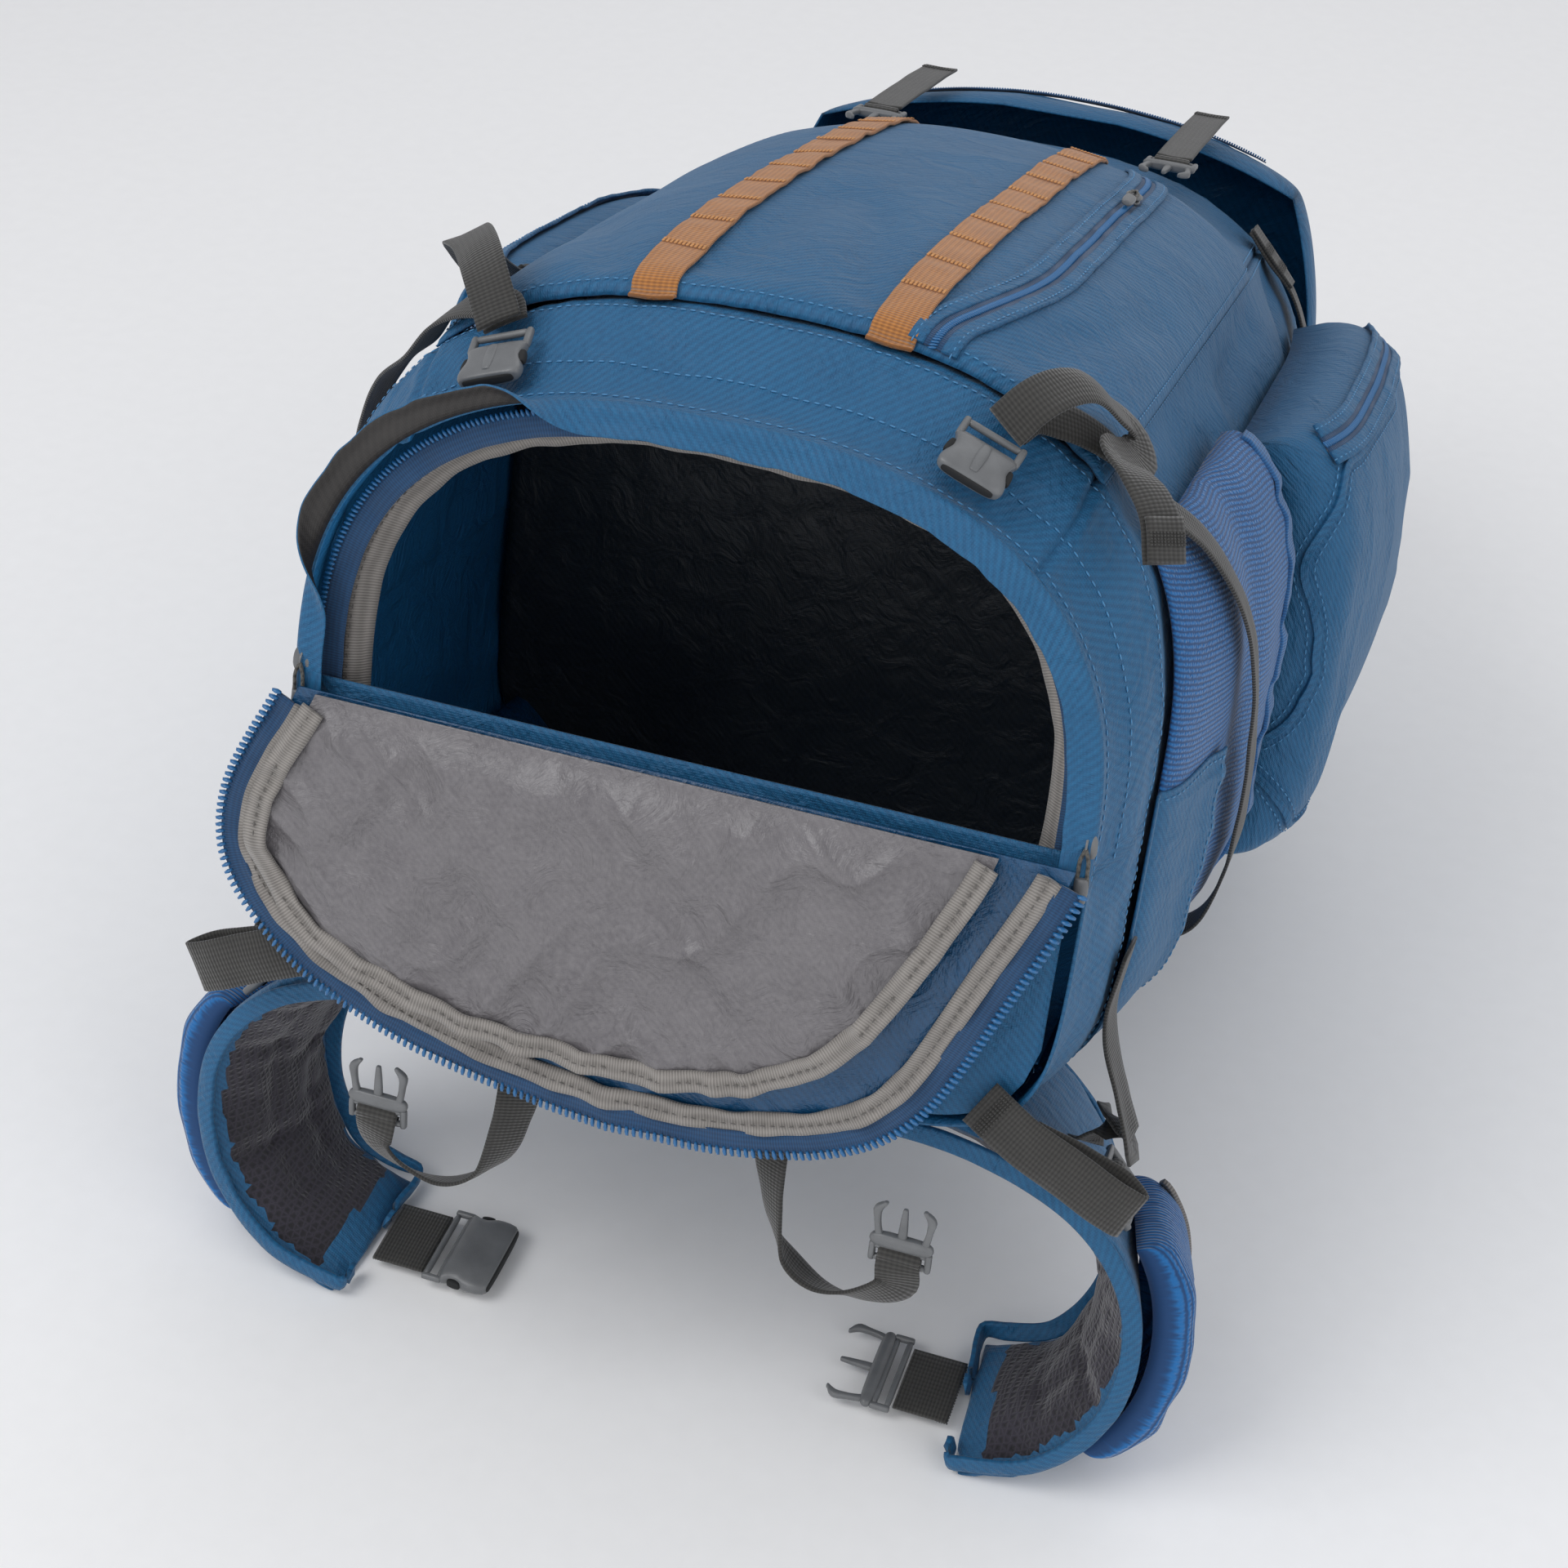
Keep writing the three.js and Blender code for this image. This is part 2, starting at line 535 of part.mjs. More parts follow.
function shoulderStrap() {
  const surface = (u, v) => {
    const along = shoulderLine.getTangentAt(u);
    const side = V(1, 0, 0).addScaledVector(along, -along.x).normalize();
    const width = SHOULDER_WIDTH * mix(1, 0.72, smooth((u - 0.55) / 0.45));
    return shoulderLine.getPointAt(u).addScaledVector(side, (0.5 - v) * width);
  };
  return sheet(surface, 22, 4,
    (u, v) => SHOULDER_THICKNESS * edgeRound(v, 0.4) * edgeRound(mix(0.12, 0.9, u), 0.6));
}

// ---------- belt, straps and loops of the harness ----------

const STABILISER_AT = 0.32; // where its lock sits along the wing
const LOCK_ACROSS = 0.32; // and across it
const stabiliserLock = () => {
  const low = wingPoint(STABILISER_AT + 0.09, LOCK_ACROSS, 7);
  const high = wingPoint(STABILISER_AT, LOCK_ACROSS, 8);
  return stand(ladderLock(WIDE_WEB), low, high.clone().sub(low), wingOut(STABILISER_AT + 0.04));
};
function wingOut(u) {
  const along = wingLine.getTangentAt(u);
  return V(-along.z, 0, along.x);
}
function stabiliserStrap() {
  const end = wingPoint(STABILISER_AT - 0.03, LOCK_ACROSS, 10);
  const y = BOTTLE_POCKET_START - WIDE_WEB / 2 - 3;
  const points = [skin(y, 0.2, LAID + 3.5), skin(y, 0.17, LAID + 3.5), V(end.x + 13, y - 2, 12),
    V(end.x + 20, y - 3, -8), V(end.x + 11, end.y, end.z + 14), end];
  const faces = [outwards(y, 0.2), outwards(y, 0.17), V(1, 0, 0.3), V(1, 0, -0.1), V(0.9, 0, 0.5),
    wingOut(STABILISER_AT - 0.02)];
  return webbing(points, faces, WIDE_WEB, 16);
}

const shoulderEnd = shoulderLine.getPointAt(1);
const shoulderAim = shoulderLine.getTangentAt(1);
const lockPlace = shoulderEnd.clone().addScaledVector(shoulderAim, GAP + 0.5).add(V(0, 0, 6));
const shoulderLock = () => stand(ladderLock(WEB), lockPlace, shoulderAim, V(0, 0, -1));
function shoulderWebbing() {
  const lockEnd = shoulderEnd.clone().addScaledVector(shoulderAim, 39.5).add(V(0, 0, 6));
  const low = V(BODY_WIDTH / 2 - 36, WING_START + WING_WIDTH + 14, -LAID);
  const points = [lockEnd, lockEnd.clone().lerp(low, 0.4).add(V(0, 0, -3)), lockEnd.clone().lerp(low, 0.8), low];
  return webbing(points, Array(4).fill(V(0, 0, -1)), WEB, 10);
}

const STERNUM_Y = shoulderRoot.y - 110;
function sternumStrap() {
  const z = -SHOULDER_DROP - 8;
  const points = [V(SHOULDER_OUT + 46, STERNUM_Y, z), V(SHOULDER_OUT - 2, STERNUM_Y, z - 1),
    V(SHOULDER_OUT - 36, STERNUM_Y, z + 4), V(14, STERNUM_Y, z + 4)];
  return webbing(points, Array(4).fill(V(0, 0, -1)), WEB, 10, 2.4);
}

const HAUL_OUT = 34;
function haulLoop() {
  const y = BODY_LENGTH - 34;
  const z = -WEB / 2 - GAP - 2.5;
  const points = [V(-HAUL_OUT, y, z), V(-HAUL_OUT + 3, y + 22, z), V(-HAUL_OUT / 2, y + 36, z),
    V(HAUL_OUT / 2, y + 36, z), V(HAUL_OUT - 3, y + 22, z), V(HAUL_OUT, y, z)];
  const faces = [V(-1, 0, 0), V(-1, 0.3, 0), V(-0.4, 1, 0), V(0.4, 1, 0), V(1, 0.3, 0), V(1, 0, 0)];
  return webbing(points, faces, WEB, 20, 2.4);
}

// ---------- top: collar, cord, lid ----------

const collarStart = BODY_LENGTH + GAP;
const collarShrink = (u) => mix(1, COLLAR_DRAW, smooth(u));
const collar = () =>
  sheet((u, v) => sectionPoint(collarStart + COLLAR_LENGTH * u, evenAngles(v), collarShrink(u)),
    5, 32, WALL * 0.75, true);

const mouthY = collarStart + COLLAR_LENGTH + GAP + CORD / 2 + 1;
const tailY = mouthY + 14;
const tailZ = mouthFront() + 6;
function mouthFront() {
  return sectionPoint(mouthY, Math.PI / 2, COLLAR_DRAW * 0.98).z;
}
// The cord lies round the collar's mouth, and both ends leave it in front as one tail.
function drawcord() {
  const points = [...Array(25).keys()].map((i) =>
    sectionPoint(mouthY, evenAngles((0.512 + (i / 24) * 0.976) % 1), COLLAR_DRAW * 0.98));
  points.push(V(10, mouthY + 9, mouthFront() + 5));
  [24, 32, 60, 94].forEach((x) => points.push(V(x, tailY, tailZ)));
  const route = new THREE.CatmullRomCurve3(points, false, 'centripetal');
  const circle = new THREE.Shape().absarc(0, 0, CORD / 2, 0, 2 * Math.PI);
  const settings = { extrudePath: route, steps: 62, curveSegments: 4, bevelEnabled: false };
  return new THREE.ExtrudeGeometry(circle, settings);
}
function cordLock() {
  const body = new THREE.BoxGeometry(14, 20, 12);
  const bore = new THREE.CylinderGeometry(CORD / 2 + GAP, CORD / 2 + GAP, 20, 12).rotateZ(Math.PI / 2);
  return cut(body, [bore]).translate(46, tailY, tailZ);
}

function lid() {
  const middle = LID_DEPTH / 2 - 2;
  return sheet((u, v) => {
    const [a, b] = [1 - 2 * u, 2 * v - 1];
    const corner = b > 0 ? LID_CORNER : LID_CORNER / 6; // squarer at the back, like the body
    const x = a * Math.sqrt(1 - corner * b * b) * (LID_WIDTH / 2);
    const z = b * Math.sqrt(1 - corner * a * a) * (LID_DEPTH / 2);
    return V(x, LID_START + LID_RISE * swell(u, 4.5) * swell(v, 4.5), middle + z);
  }, 14, 14, POCKET_WALL);
}

const LID_STRAP_OUT = 84;
const lidStrapEnd = LID_START - 90;
function lidStrap() {
  const front = LID_DEPTH + LAID;
  const points = [V(LID_STRAP_OUT, LID_START + 40, front + 1), V(LID_STRAP_OUT, LID_START + 6, front + 1),
    V(LID_STRAP_OUT, LID_START - 40, front), V(LID_STRAP_OUT, lidStrapEnd, front - 2)];
  return webbing(points, Array(4).fill(V(0, 0, 1)), WEB, 12);
}
const lidBuckle = () =>
  stand(maleBuckle(), V(LID_STRAP_OUT, lidStrapEnd - 1, LID_DEPTH - 2), V(0, -1, 0), V(0, 0, 1));

// ---------- small fittings ----------

const FRONT_BUCKLE_ROUND = 0.413;
const frontBuckle = () => {
  const place = skin(32, FRONT_BUCKLE_ROUND, 7.5);
  const tip = skin(2, FRONT_BUCKLE_ROUND, 8.5);
  return stand(femaleBuckle(), place, tip.sub(place), outwards(17, FRONT_BUCKLE_ROUND));
};
const padBuckle = () =>
  stand(maleBuckle(), V(PAD_STRAP_OUT, -5.2, 1 - PAD_STRAP_DROP * 0.75), V(0, -0.1, 1), V(0, -1, 0));
const beltBuckleAt = (male) =>
  stand(beltBuckle(male), V(tipPoint.x - BELT_TAIL - GAP, beltY, tipPoint.z + WING_THICKNESS * 0.45 + 1),
    V(-1, 0, 0), V(0, WING_CONE, -1));
const DOOR_SLIDER_Z = DOOR_SILL + 4;
const doorSlider = () =>
  stand(zipSlider(), V(halfWidth(0) - 3, -3.6, DOOR_SLIDER_Z), V(-0.03, 0, 1), V(0, -1, 0));
const FRONT_SLIDER = { y: 352, round: 0.428 };
const frontSlider = () => {
  const lift = frontLift(FRONT_SLIDER.y, FRONT_SLIDER.round) + 5.6;
  return stand(zipSlider(), skin(FRONT_SLIDER.y, FRONT_SLIDER.round, lift), V(0, 1, 0),
    outwards(FRONT_SLIDER.y, FRONT_SLIDER.round));
};

// ---------- materials ----------

const paint = (color, roughness, metalness = 0) =>
  new THREE.MeshStandardMaterial({ color, roughness, metalness });
const packCloth = () => paint('#2e6a9a', 0.8);
const stretchMesh = () => paint('#0f5fb0', 0.9);
const lining = () => paint('#8e8c90', 0.6);
const strapWeb = () => paint('#4a4944', 0.85);
const accentWeb = () => paint('#b87b3e', 0.8);
const foamMesh = () => paint('#3a3640', 0.95);
const nylon = () => paint('#63666a', 0.5);
const aluminium = () => paint('#b0b4b8', 0.35, 1);
const polymer = () => paint('#d8d8d4', 0.5);

// ---------- assembly ----------

const pack = new THREE.Group();
const named = {};
function add(name, geometry, material) {
  const mesh = new THREE.Mesh(geometry, material);
  mesh.name = name;
  named[name] = mesh;
  pack.add(mesh);
  return mesh;
}
// The same piece on both sides; `build` makes the right one.
function addPair(name, build, material) {
  add(`${name}_right`, build('right'), material());
  add(`${name}_left`, mirrored(build('left')), material());
}

add('back_panel', backPanel(), packCloth());
addPair('side_panel', sidePanelRight, packCloth);
add('front_panel', frontPanel(), packCloth());
add('lower_band', lowerBand(), packCloth());
add('bottom_panel', bottomPanel(), packCloth());
add('divider_panel', dividerPanel(), lining());
add('frame_sheet', frameSheet(), polymer()).position.set(0, BODY_LENGTH / 2, SHEET_Z);
add('frame_stay', frameStay(), aluminium()).position.set(0, BODY_LENGTH / 2, STAY_Z);
add('back_pad', backPad(), foamMesh()).position.set(0, PAD_START + PAD_LENGTH / 2, PAD_Z);
add('lumbar_pad', lumbarPad(), foamMesh()).position.set(0, wingMiddle, PAD_Z);
add('front_pocket', frontPocket(), packCloth());
addPair('side_pocket', sidePocket, packCloth);
addPair('bottle_pocket', bottlePocket, stretchMesh);
addPair('daisy_chain', daisyChain, accentWeb);
add('collar', collar(), packCloth());
add('drawcord', drawcord(), strapWeb());
add('cord_lock', cordLock(), nylon());
addPair('lower_compression_strap', lowerCompressionStrap, strapWeb);
addPair('upper_compression_strap', upperCompressionStrap, strapWeb);
addPair('front_buckle', frontBuckle, nylon);
addPair('pad_strap', padStrap, strapWeb);
addPair('pad_buckle', padBuckle, nylon);
add('door_flap', doorFlap(), packCloth());
addPair('door_slider', doorSlider, nylon);
add('front_slider', frontSlider(), nylon());
addPair('hip_wing', hipWing, packCloth);
addPair('hip_pocket', hipPocket, stretchMesh);
addPair('hip_webbing', hipWebbing, strapWeb);
add('belt_buckle_male', beltBuckleAt(true), nylon());
add('belt_buckle_female', mirrored(beltBuckleAt(false)), nylon());
addPair('stabiliser_strap', stabiliserStrap, strapWeb);
addPair('stabiliser_lock', stabiliserLock, nylon);
addPair('shoulder_strap', shoulderStrap, foamMesh);
addPair('shoulder_lock', shoulderLock, nylon);
addPair('shoulder_webbing', shoulderWebbing, strapWeb);
add('sternum_strap', mirrored(sternumStrap()), strapWeb());
add('haul_loop', haulLoop(), strapWeb());
add('lid', lid(), packCloth());
addPair('lid_strap', lidStrap, strapWeb);
addPair('lid_buckle', lidBuckle, nylon);

// Lowest reach of a mesh once the pack leans by an angle.
function lowest(name, lean) {
  const place = named[name].geometry.attributes.position;
  let low = Infinity;
  for (let i = 0; i < place.count; i++) {
    low = Math.min(low, place.getZ(i) * Math.cos(lean) - place.getY(i) * Math.sin(lean));
  }
  return low;
}
// The lean at which the wings and the shoulder straps reach the ground together.
function restingLean() {
  let [less, more] = [0, 0.6];
  for (let i = 0; i < 40; i++) {
    const middle = (less + more) / 2;
    if (lowest('shoulder_strap_right', middle) > lowest('hip_wing_right', middle)) less = middle;
    else more = middle;
  }
  return (less + more) / 2;
}
const lean = restingLean();
pack.rotation.x = -lean;
pack.position.z = -lowest('hip_wing_right', lean);

// The origin is on the ground, under the middle of the pack's box.
const row = new THREE.Group();
row.add(pack);
row.updateMatrixWorld(true);
pack.position.y -= new THREE.Box3().setFromObject(row, true).getCenter(V()).y;
export default row;
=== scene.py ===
# A hiking pack lying on its back with its bottom door open: the looks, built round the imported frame.
import json
import math

import bmesh
import bpy
import numpy as np
from mathutils import Matrix, Vector


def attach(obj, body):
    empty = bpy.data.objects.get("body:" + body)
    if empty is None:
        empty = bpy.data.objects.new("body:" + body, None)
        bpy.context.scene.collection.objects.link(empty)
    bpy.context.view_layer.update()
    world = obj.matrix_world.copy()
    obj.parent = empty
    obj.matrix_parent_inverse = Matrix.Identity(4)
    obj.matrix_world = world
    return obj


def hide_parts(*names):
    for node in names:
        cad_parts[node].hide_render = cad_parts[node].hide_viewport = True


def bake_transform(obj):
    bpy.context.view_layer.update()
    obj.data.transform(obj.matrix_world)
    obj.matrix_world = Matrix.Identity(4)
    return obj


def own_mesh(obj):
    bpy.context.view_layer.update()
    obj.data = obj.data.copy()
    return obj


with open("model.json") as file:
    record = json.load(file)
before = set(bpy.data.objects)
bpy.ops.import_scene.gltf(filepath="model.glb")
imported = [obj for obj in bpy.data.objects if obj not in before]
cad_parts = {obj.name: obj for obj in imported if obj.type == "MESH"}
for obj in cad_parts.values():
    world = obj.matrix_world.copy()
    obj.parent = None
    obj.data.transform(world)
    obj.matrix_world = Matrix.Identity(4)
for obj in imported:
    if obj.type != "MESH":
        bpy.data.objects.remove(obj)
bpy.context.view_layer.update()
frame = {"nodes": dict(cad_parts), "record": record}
SIDES = {"right": 1, "left": -1}


# ---- How the pack lies ----
# Sizes are millimetres on the standing pack: x to the wearer's right, y from the bottom end to the top and
# z from the back to the front. The flat of the back pad, 420 up and 24 behind, says how that frame lies.
PAD_FLAT = (420, -24)
back_face = next(m for m in frame["record"]["mounts"] if m["name"] == "back_face")
lean_sin, lean_cos = -back_face["axis"][1], -back_face["axis"][2]
shift = back_face["pos_m"][1] * 1000 - PAD_FLAT[0] * lean_cos - PAD_FLAT[1] * lean_sin
lift_up = back_face["pos_m"][2] * 1000 + PAD_FLAT[0] * lean_sin - PAD_FLAT[1] * lean_cos


def turned(directions):
    """Directions on the standing pack, as it lies."""
    d = np.asarray(directions, float)
    y, z = d[..., 1], d[..., 2]
    return np.stack([d[..., 0], y * lean_cos + z * lean_sin, z * lean_cos - y * lean_sin], -1)


def placed(points):
    """Places on the standing pack, in metres as it lies."""
    return (turned(points) + (0, shift, lift_up)) / 1000


# ---- Camera, lights and floor ----
# A three quarter view into the open bottom, from in front of it and a little to the wearer's right, with a
# normal lens and the slight tilt of a hand held picture. Soft studio light comes from above and the left.
CAMERA_AT = (304, -1015, 628.5)
AZIMUTH, ELEVATION, ROLL = map(math.radians, (14.35, 24.73, 7.31))
LENS, SENSOR = 63.75, 36
FLOOR_REACH = 6  # metres from the middle of the floor to its edges


def in_scene(name, data):
    """A new object, linked to the scene."""
    made = bpy.data.objects.new(name, data)
    bpy.context.scene.collection.objects.link(made)
    return made


back = np.array([math.sin(AZIMUTH) * math.cos(ELEVATION), -math.cos(AZIMUTH) * math.cos(ELEVATION),
                 math.sin(ELEVATION)])
level = np.array([math.cos(AZIMUTH), math.sin(AZIMUTH), 0])
right = math.cos(ROLL) * level + math.sin(ROLL) * np.cross(back, level)
camera = in_scene("camera", bpy.data.cameras.new("camera"))
axes = [Vector(turned(d)) for d in (right, np.cross(back, right), back)]
camera.matrix_world = Matrix.Translation(placed(CAMERA_AT)) @ Matrix(axes).transposed().to_4x4()
camera.data.lens = LENS
camera.data.sensor_width = SENSOR
bpy.context.scene.camera = camera

for name, energy, size, at in [
    ("key_light", 26, 1.6, (-1.2, -1.3, 2.3)),
    ("fill_light", 12, 2.2, (1.9, -0.9, 1.2)),
    ("low_light", 6, 1.6, (-0.3, -2.2, 0.5)),
    ("top_light", 9, 2.0, (0.5, 1.4, 2.2)),
]:
    data = bpy.data.lights.new(name, "AREA")
    data.energy, data.size = energy, size
    lamp = in_scene(name, data)
    lamp.location = at
    lamp.rotation_euler = (Vector((0, 0, 0.2)) - Vector(at)).to_track_quat("-Z", "Y").to_euler()

world = bpy.data.worlds.new("studio")
world.use_nodes = True
world.node_tree.nodes["Background"].inputs["Color"].default_value = (0.95, 0.96, 1, 1)
world.node_tree.nodes["Background"].inputs["Strength"].default_value = 0.55
bpy.context.scene.world = world
bpy.context.scene.view_settings.view_transform = "Standard"


def linear(hex_colour):
    """An sRGB hex value as linear red, green, blue and alpha."""
    parts = [int(hex_colour[i:i + 2], 16) / 255 for i in (1, 3, 5)]
    return [c / 12.92 if c <= 0.04045 else ((c + 0.055) / 1.055) ** 2.4 for c in parts] + [1]


def add_node(tree, kind, inputs=None, **settings):
    """Adds a node with its settings; an input is a value, or the socket that feeds it."""
    made = tree.nodes.new(kind)
    for key, value in settings.items():
        setattr(made, key, value)
    for key, value in (inputs or {}).items():
        if isinstance(value, bpy.types.NodeSocket):
            tree.links.new(value, made.inputs[key])
        else:
            made.inputs[key].default_value = value
    return made


def new_material(name, **shader_values):
    """An empty material with one shader, whose steady values are set on its own sockets."""
    made = bpy.data.materials.new(name)
    made.use_nodes = True
    shader = made.node_tree.nodes["Principled BSDF"]
    for key, value in shader_values.items():
        shader.inputs[key.replace("_", " ").title().replace("Ior", "IOR")].default_value = value
    return made, made.node_tree, shader


def tinted(tree, shader, factor, first, second):
    """Gives the shader a colour between two shades, as the factor says."""
    tint = add_node(tree, "ShaderNodeMix", {"Factor": factor, "A": linear(first), "B": linear(second)},
                    data_type="RGBA")
    tree.links.new(tint.outputs["Result"], shader.inputs["Base Color"])


floor_mesh = bpy.data.meshes.new("studio_floor")
floor_corners = [(x * FLOOR_REACH, y * FLOOR_REACH, 0) for x, y in ((-1, -1), (1, -1), (1, 1), (-1, 1))]
floor_mesh.from_pydata(floor_corners, [], [(0, 1, 2, 3)])
studio_floor = in_scene("studio_floor", floor_mesh)
paper, paper_tree, paper_shader = new_material("white background paper", roughness=0.9)
grain = add_node(paper_tree, "ShaderNodeTexNoise", {"Scale": 900.0, "Detail": 2.0})
tinted(paper_tree, paper_shader, grain.outputs["Fac"], "#F4F4F4", "#F8F8F8")
floor_mesh.materials.append(paper)


# ---- Main bag ----
# Five panels of coated nylon pack cloth, cut to shape and sewn along lapped seams: a front, two sides, a
# back and a deep band round the door's mouth. The cloth hangs in soft folds and puckers along each seam.
BODY_WIDTH, BODY_DEPTH, BODY_LENGTH = 376, 296, 600
BAND_LENGTH = 52
SIDE_FROM, SIDE_TO = 0.135, 0.375  # the side panel's two seams, as shares of the way round
CLOTH = 1.4  # thickness that two layers of cloth and their lining show


def smooth(t):
    """Eases from 0 to 1, level at both ends."""
    t = np.clip(t, 0, 1)
    return t * t * (3 - 2 * t)


def mix(a, b, t):
    return a + (b - a) * t


def swell(t, power):
    """Rises from 0 at both ends to 1 in the middle; a higher power is flatter there."""
    return np.maximum(1 - np.abs(2 * np.asarray(t, float) - 1) ** power, 0) ** (1 / power)


def floats(*values):
    return np.broadcast_arrays(*(np.asarray(value, float) for value in values))


def noise(x, y, seed):
    """Smooth noise from -1 to 1, one feature to each unit, the same in every run."""
    def corner(i, j):
        n = (i * 374761393 + j * 668265263 + seed * 1442695041) & 0x7FFFFFFF
        n = ((n ^ (n >> 13)) * 1274126177) & 0x7FFFFFFF
        return ((n ^ (n >> 16)) & 0xFFFF) / 0x7FFF - 1
    x, y = floats(x, y)
    i, j = np.floor(x).astype(np.int64), np.floor(y).astype(np.int64)
    s, t = smooth(x - i), smooth(y - j)
    near = mix(corner(i, j), corner(i + 1, j), s)
    far = mix(corner(i, j + 1), corner(i + 1, j + 1), s)
    return mix(near, far, t)


def crease(x, y, seed):
    """Sharp ridges between soft hollows, from 0 to 1."""
    return 1 - np.abs(noise(x, y, seed)) ** 0.8


def half_width(y):
    """The body narrows at its foot and towards the shoulders; half_depth gives it the same shape in side view."""
    return BODY_WIDTH / 2 - 11 * (1 - smooth(y / 40)) - 14 * smooth((y - 420) / 200)


def half_depth(y):
    return (BODY_DEPTH + 28 * smooth(y / 56) - 21 * smooth((y - 420) / 200)) / 2


def section(y, angle, shrink=1):
    """The body's outline across y: nearly square at the back and round in front."""
    y, c, s = np.broadcast_arrays(np.asarray(y, float), np.cos(angle), np.sin(angle))
    power = 2 / np.where(s >= 0, 2.5, 6)
    x = half_width(y) * np.sign(c) * np.abs(c) ** power
    z = half_depth(y) * np.sign(s) * np.abs(s) ** power
    return np.stack([x * shrink, y, half_depth(y) + z * shrink], -1)


def distance_along(route):
    """How far each place of a route is from its start, along the route."""
    return np.concatenate([[0], np.cumsum(np.linalg.norm(np.diff(route, axis=0), axis=1))])


turn = np.linspace(-0.5, 1.5, 2881) * math.pi
walk = distance_along(section(BODY_LENGTH / 2, turn))
GIRTH = walk[-1]


def angle_at(around):
    """Share of the way round: 0 the middle of the back, 0.25 the right side, 0.5 the front."""
    return np.interp(np.mod(around, 1) * GIRTH, walk, turn)


def normals_of(surface, a, b, step_a=1.0, step_b=0.001):
    """The way out from a surface at its places (a, b)."""
    d_a = surface(a + step_a, b) - surface(a - step_a, b)
    d_b = surface(a, b + step_b) - surface(a, b - step_b)
    n = np.cross(d_a, d_b)
    return n / np.maximum(np.linalg.norm(n, axis=-1, keepdims=True), 1e-9)


def bare(y, around):
    """The body's smooth outer face, before any fold."""
    return section(y, angle_at(around))


def skin(y, around, lift=0):
    """A place on the CAD body's outer face, raised by lift."""
    y, around, lift = floats(y, around, lift)
    return bare(y, around) + normals_of(bare, y, around) * lift[..., None]


SEAMS = (SIDE_FROM, SIDE_TO, 1 - SIDE_TO, 1 - SIDE_FROM)


def near_line(distance, reach):
    """1 on a line, fading to nothing a little more than reach from it."""
    return np.exp(-((distance / reach) ** 2))


def pull(y, around, start, end, width, height):
    """A straight fold from one place to another, where the cloth is pulled between them."""
    along = np.array([end[0] - start[0], (end[1] - start[1]) * GIRTH])
    length = np.linalg.norm(along)
    dy, dr = y - start[0], (around - start[1]) * GIRTH
    part = (dy * along[0] + dr * along[1]) / length ** 2
    off = (dy * along[1] - dr * along[0]) / length
    return height * near_line(off, width) * smooth(part * 4 + 0.6) * smooth((1 - part) * 3 + 0.6)


FRONT_FOLDS = [
    ((4, 0.415), (150, 0.372), 9, -3.4), ((4, 0.585), (130, 0.63), 9, -3.0),
    ((58, 0.40), (200, 0.365), 12, -4.0), ((70, 0.36), (250, 0.34), 14, -4.5),
    ((56, 0.44), (12, 0.49), 10, -2.4), ((56, 0.55), (14, 0.52), 10, -2.2), ((8, 0.40), (50, 0.36), 7, -2.6),
    ((8, 0.60), (50, 0.64), 7, -2.4), ((60, 0.60), (190, 0.635), 12, -3.8), ((300, 0.345), (420, 0.37), 16, -4),
    ((300, 0.655), (420, 0.63), 16, -4), ((260, 0.18), (60, 0.22), 16, -3.4), ((260, 0.82), (60, 0.78), 16, -3.4),
    ((8, 0.26), (50, 0.2), 10, -2.6), ((8, 0.74), (50, 0.8), 10, -2.6), ((560, 0.38), (470, 0.30), 14, -4.2),
    ((560, 0.62), (470, 0.70), 14, -4.2), ((570, 0.44), (470, 0.41), 13, -3.6),
    ((570, 0.56), (480, 0.6), 13, -3.6),
]


def relief(y, around):
    """How far the cloth stands off its smooth shape: soft folds, pulled folds and puckers at the seams."""
    s = around * GIRTH
    seam_off = np.min([np.abs(around - seam) for seam in SEAMS], axis=0) * GIRTH
    cross_off = np.minimum(np.abs(y - BAND_LENGTH), np.abs(y - BODY_LENGTH))
    open_cloth = smooth(seam_off / 26) * smooth(cross_off / 22) * smooth((y + 2) / 14)
    off = 1.7 * noise(s / 90, y / 120, 1) + 0.9 * noise(s / 38, y / 55, 2) - 1.6
    off += 1.5 * (crease((s + 0.5 * y) / 46, (y - 0.4 * s) / 120, 3) - 0.6)
    off += sum(pull(y, around, *fold) for fold in FRONT_FOLDS)
    off *= open_cloth
    pucker = noise(y / 6.5, around * 9, 4) * near_line(seam_off - 7, 8)
    pucker += noise(s / 6.5, y / 40, 5) * near_line(np.abs(y - BAND_LENGTH) - 7, 8)
    lap = 1.0 * near_line(seam_off - 4.5, 3.5) - 1.6 * near_line(seam_off, 1.4)
    lap += 1.0 * near_line(y - BAND_LENGTH + 4.5, 3.5) - 1.6 * near_line(y - BAND_LENGTH, 1.4)
    return off + 0.55 * pucker + lap


def cloth(y, around):
    """The outer face of the pack cloth, folds and all."""
    return skin(y, around, relief(np.asarray(y, float), np.asarray(around, float)))


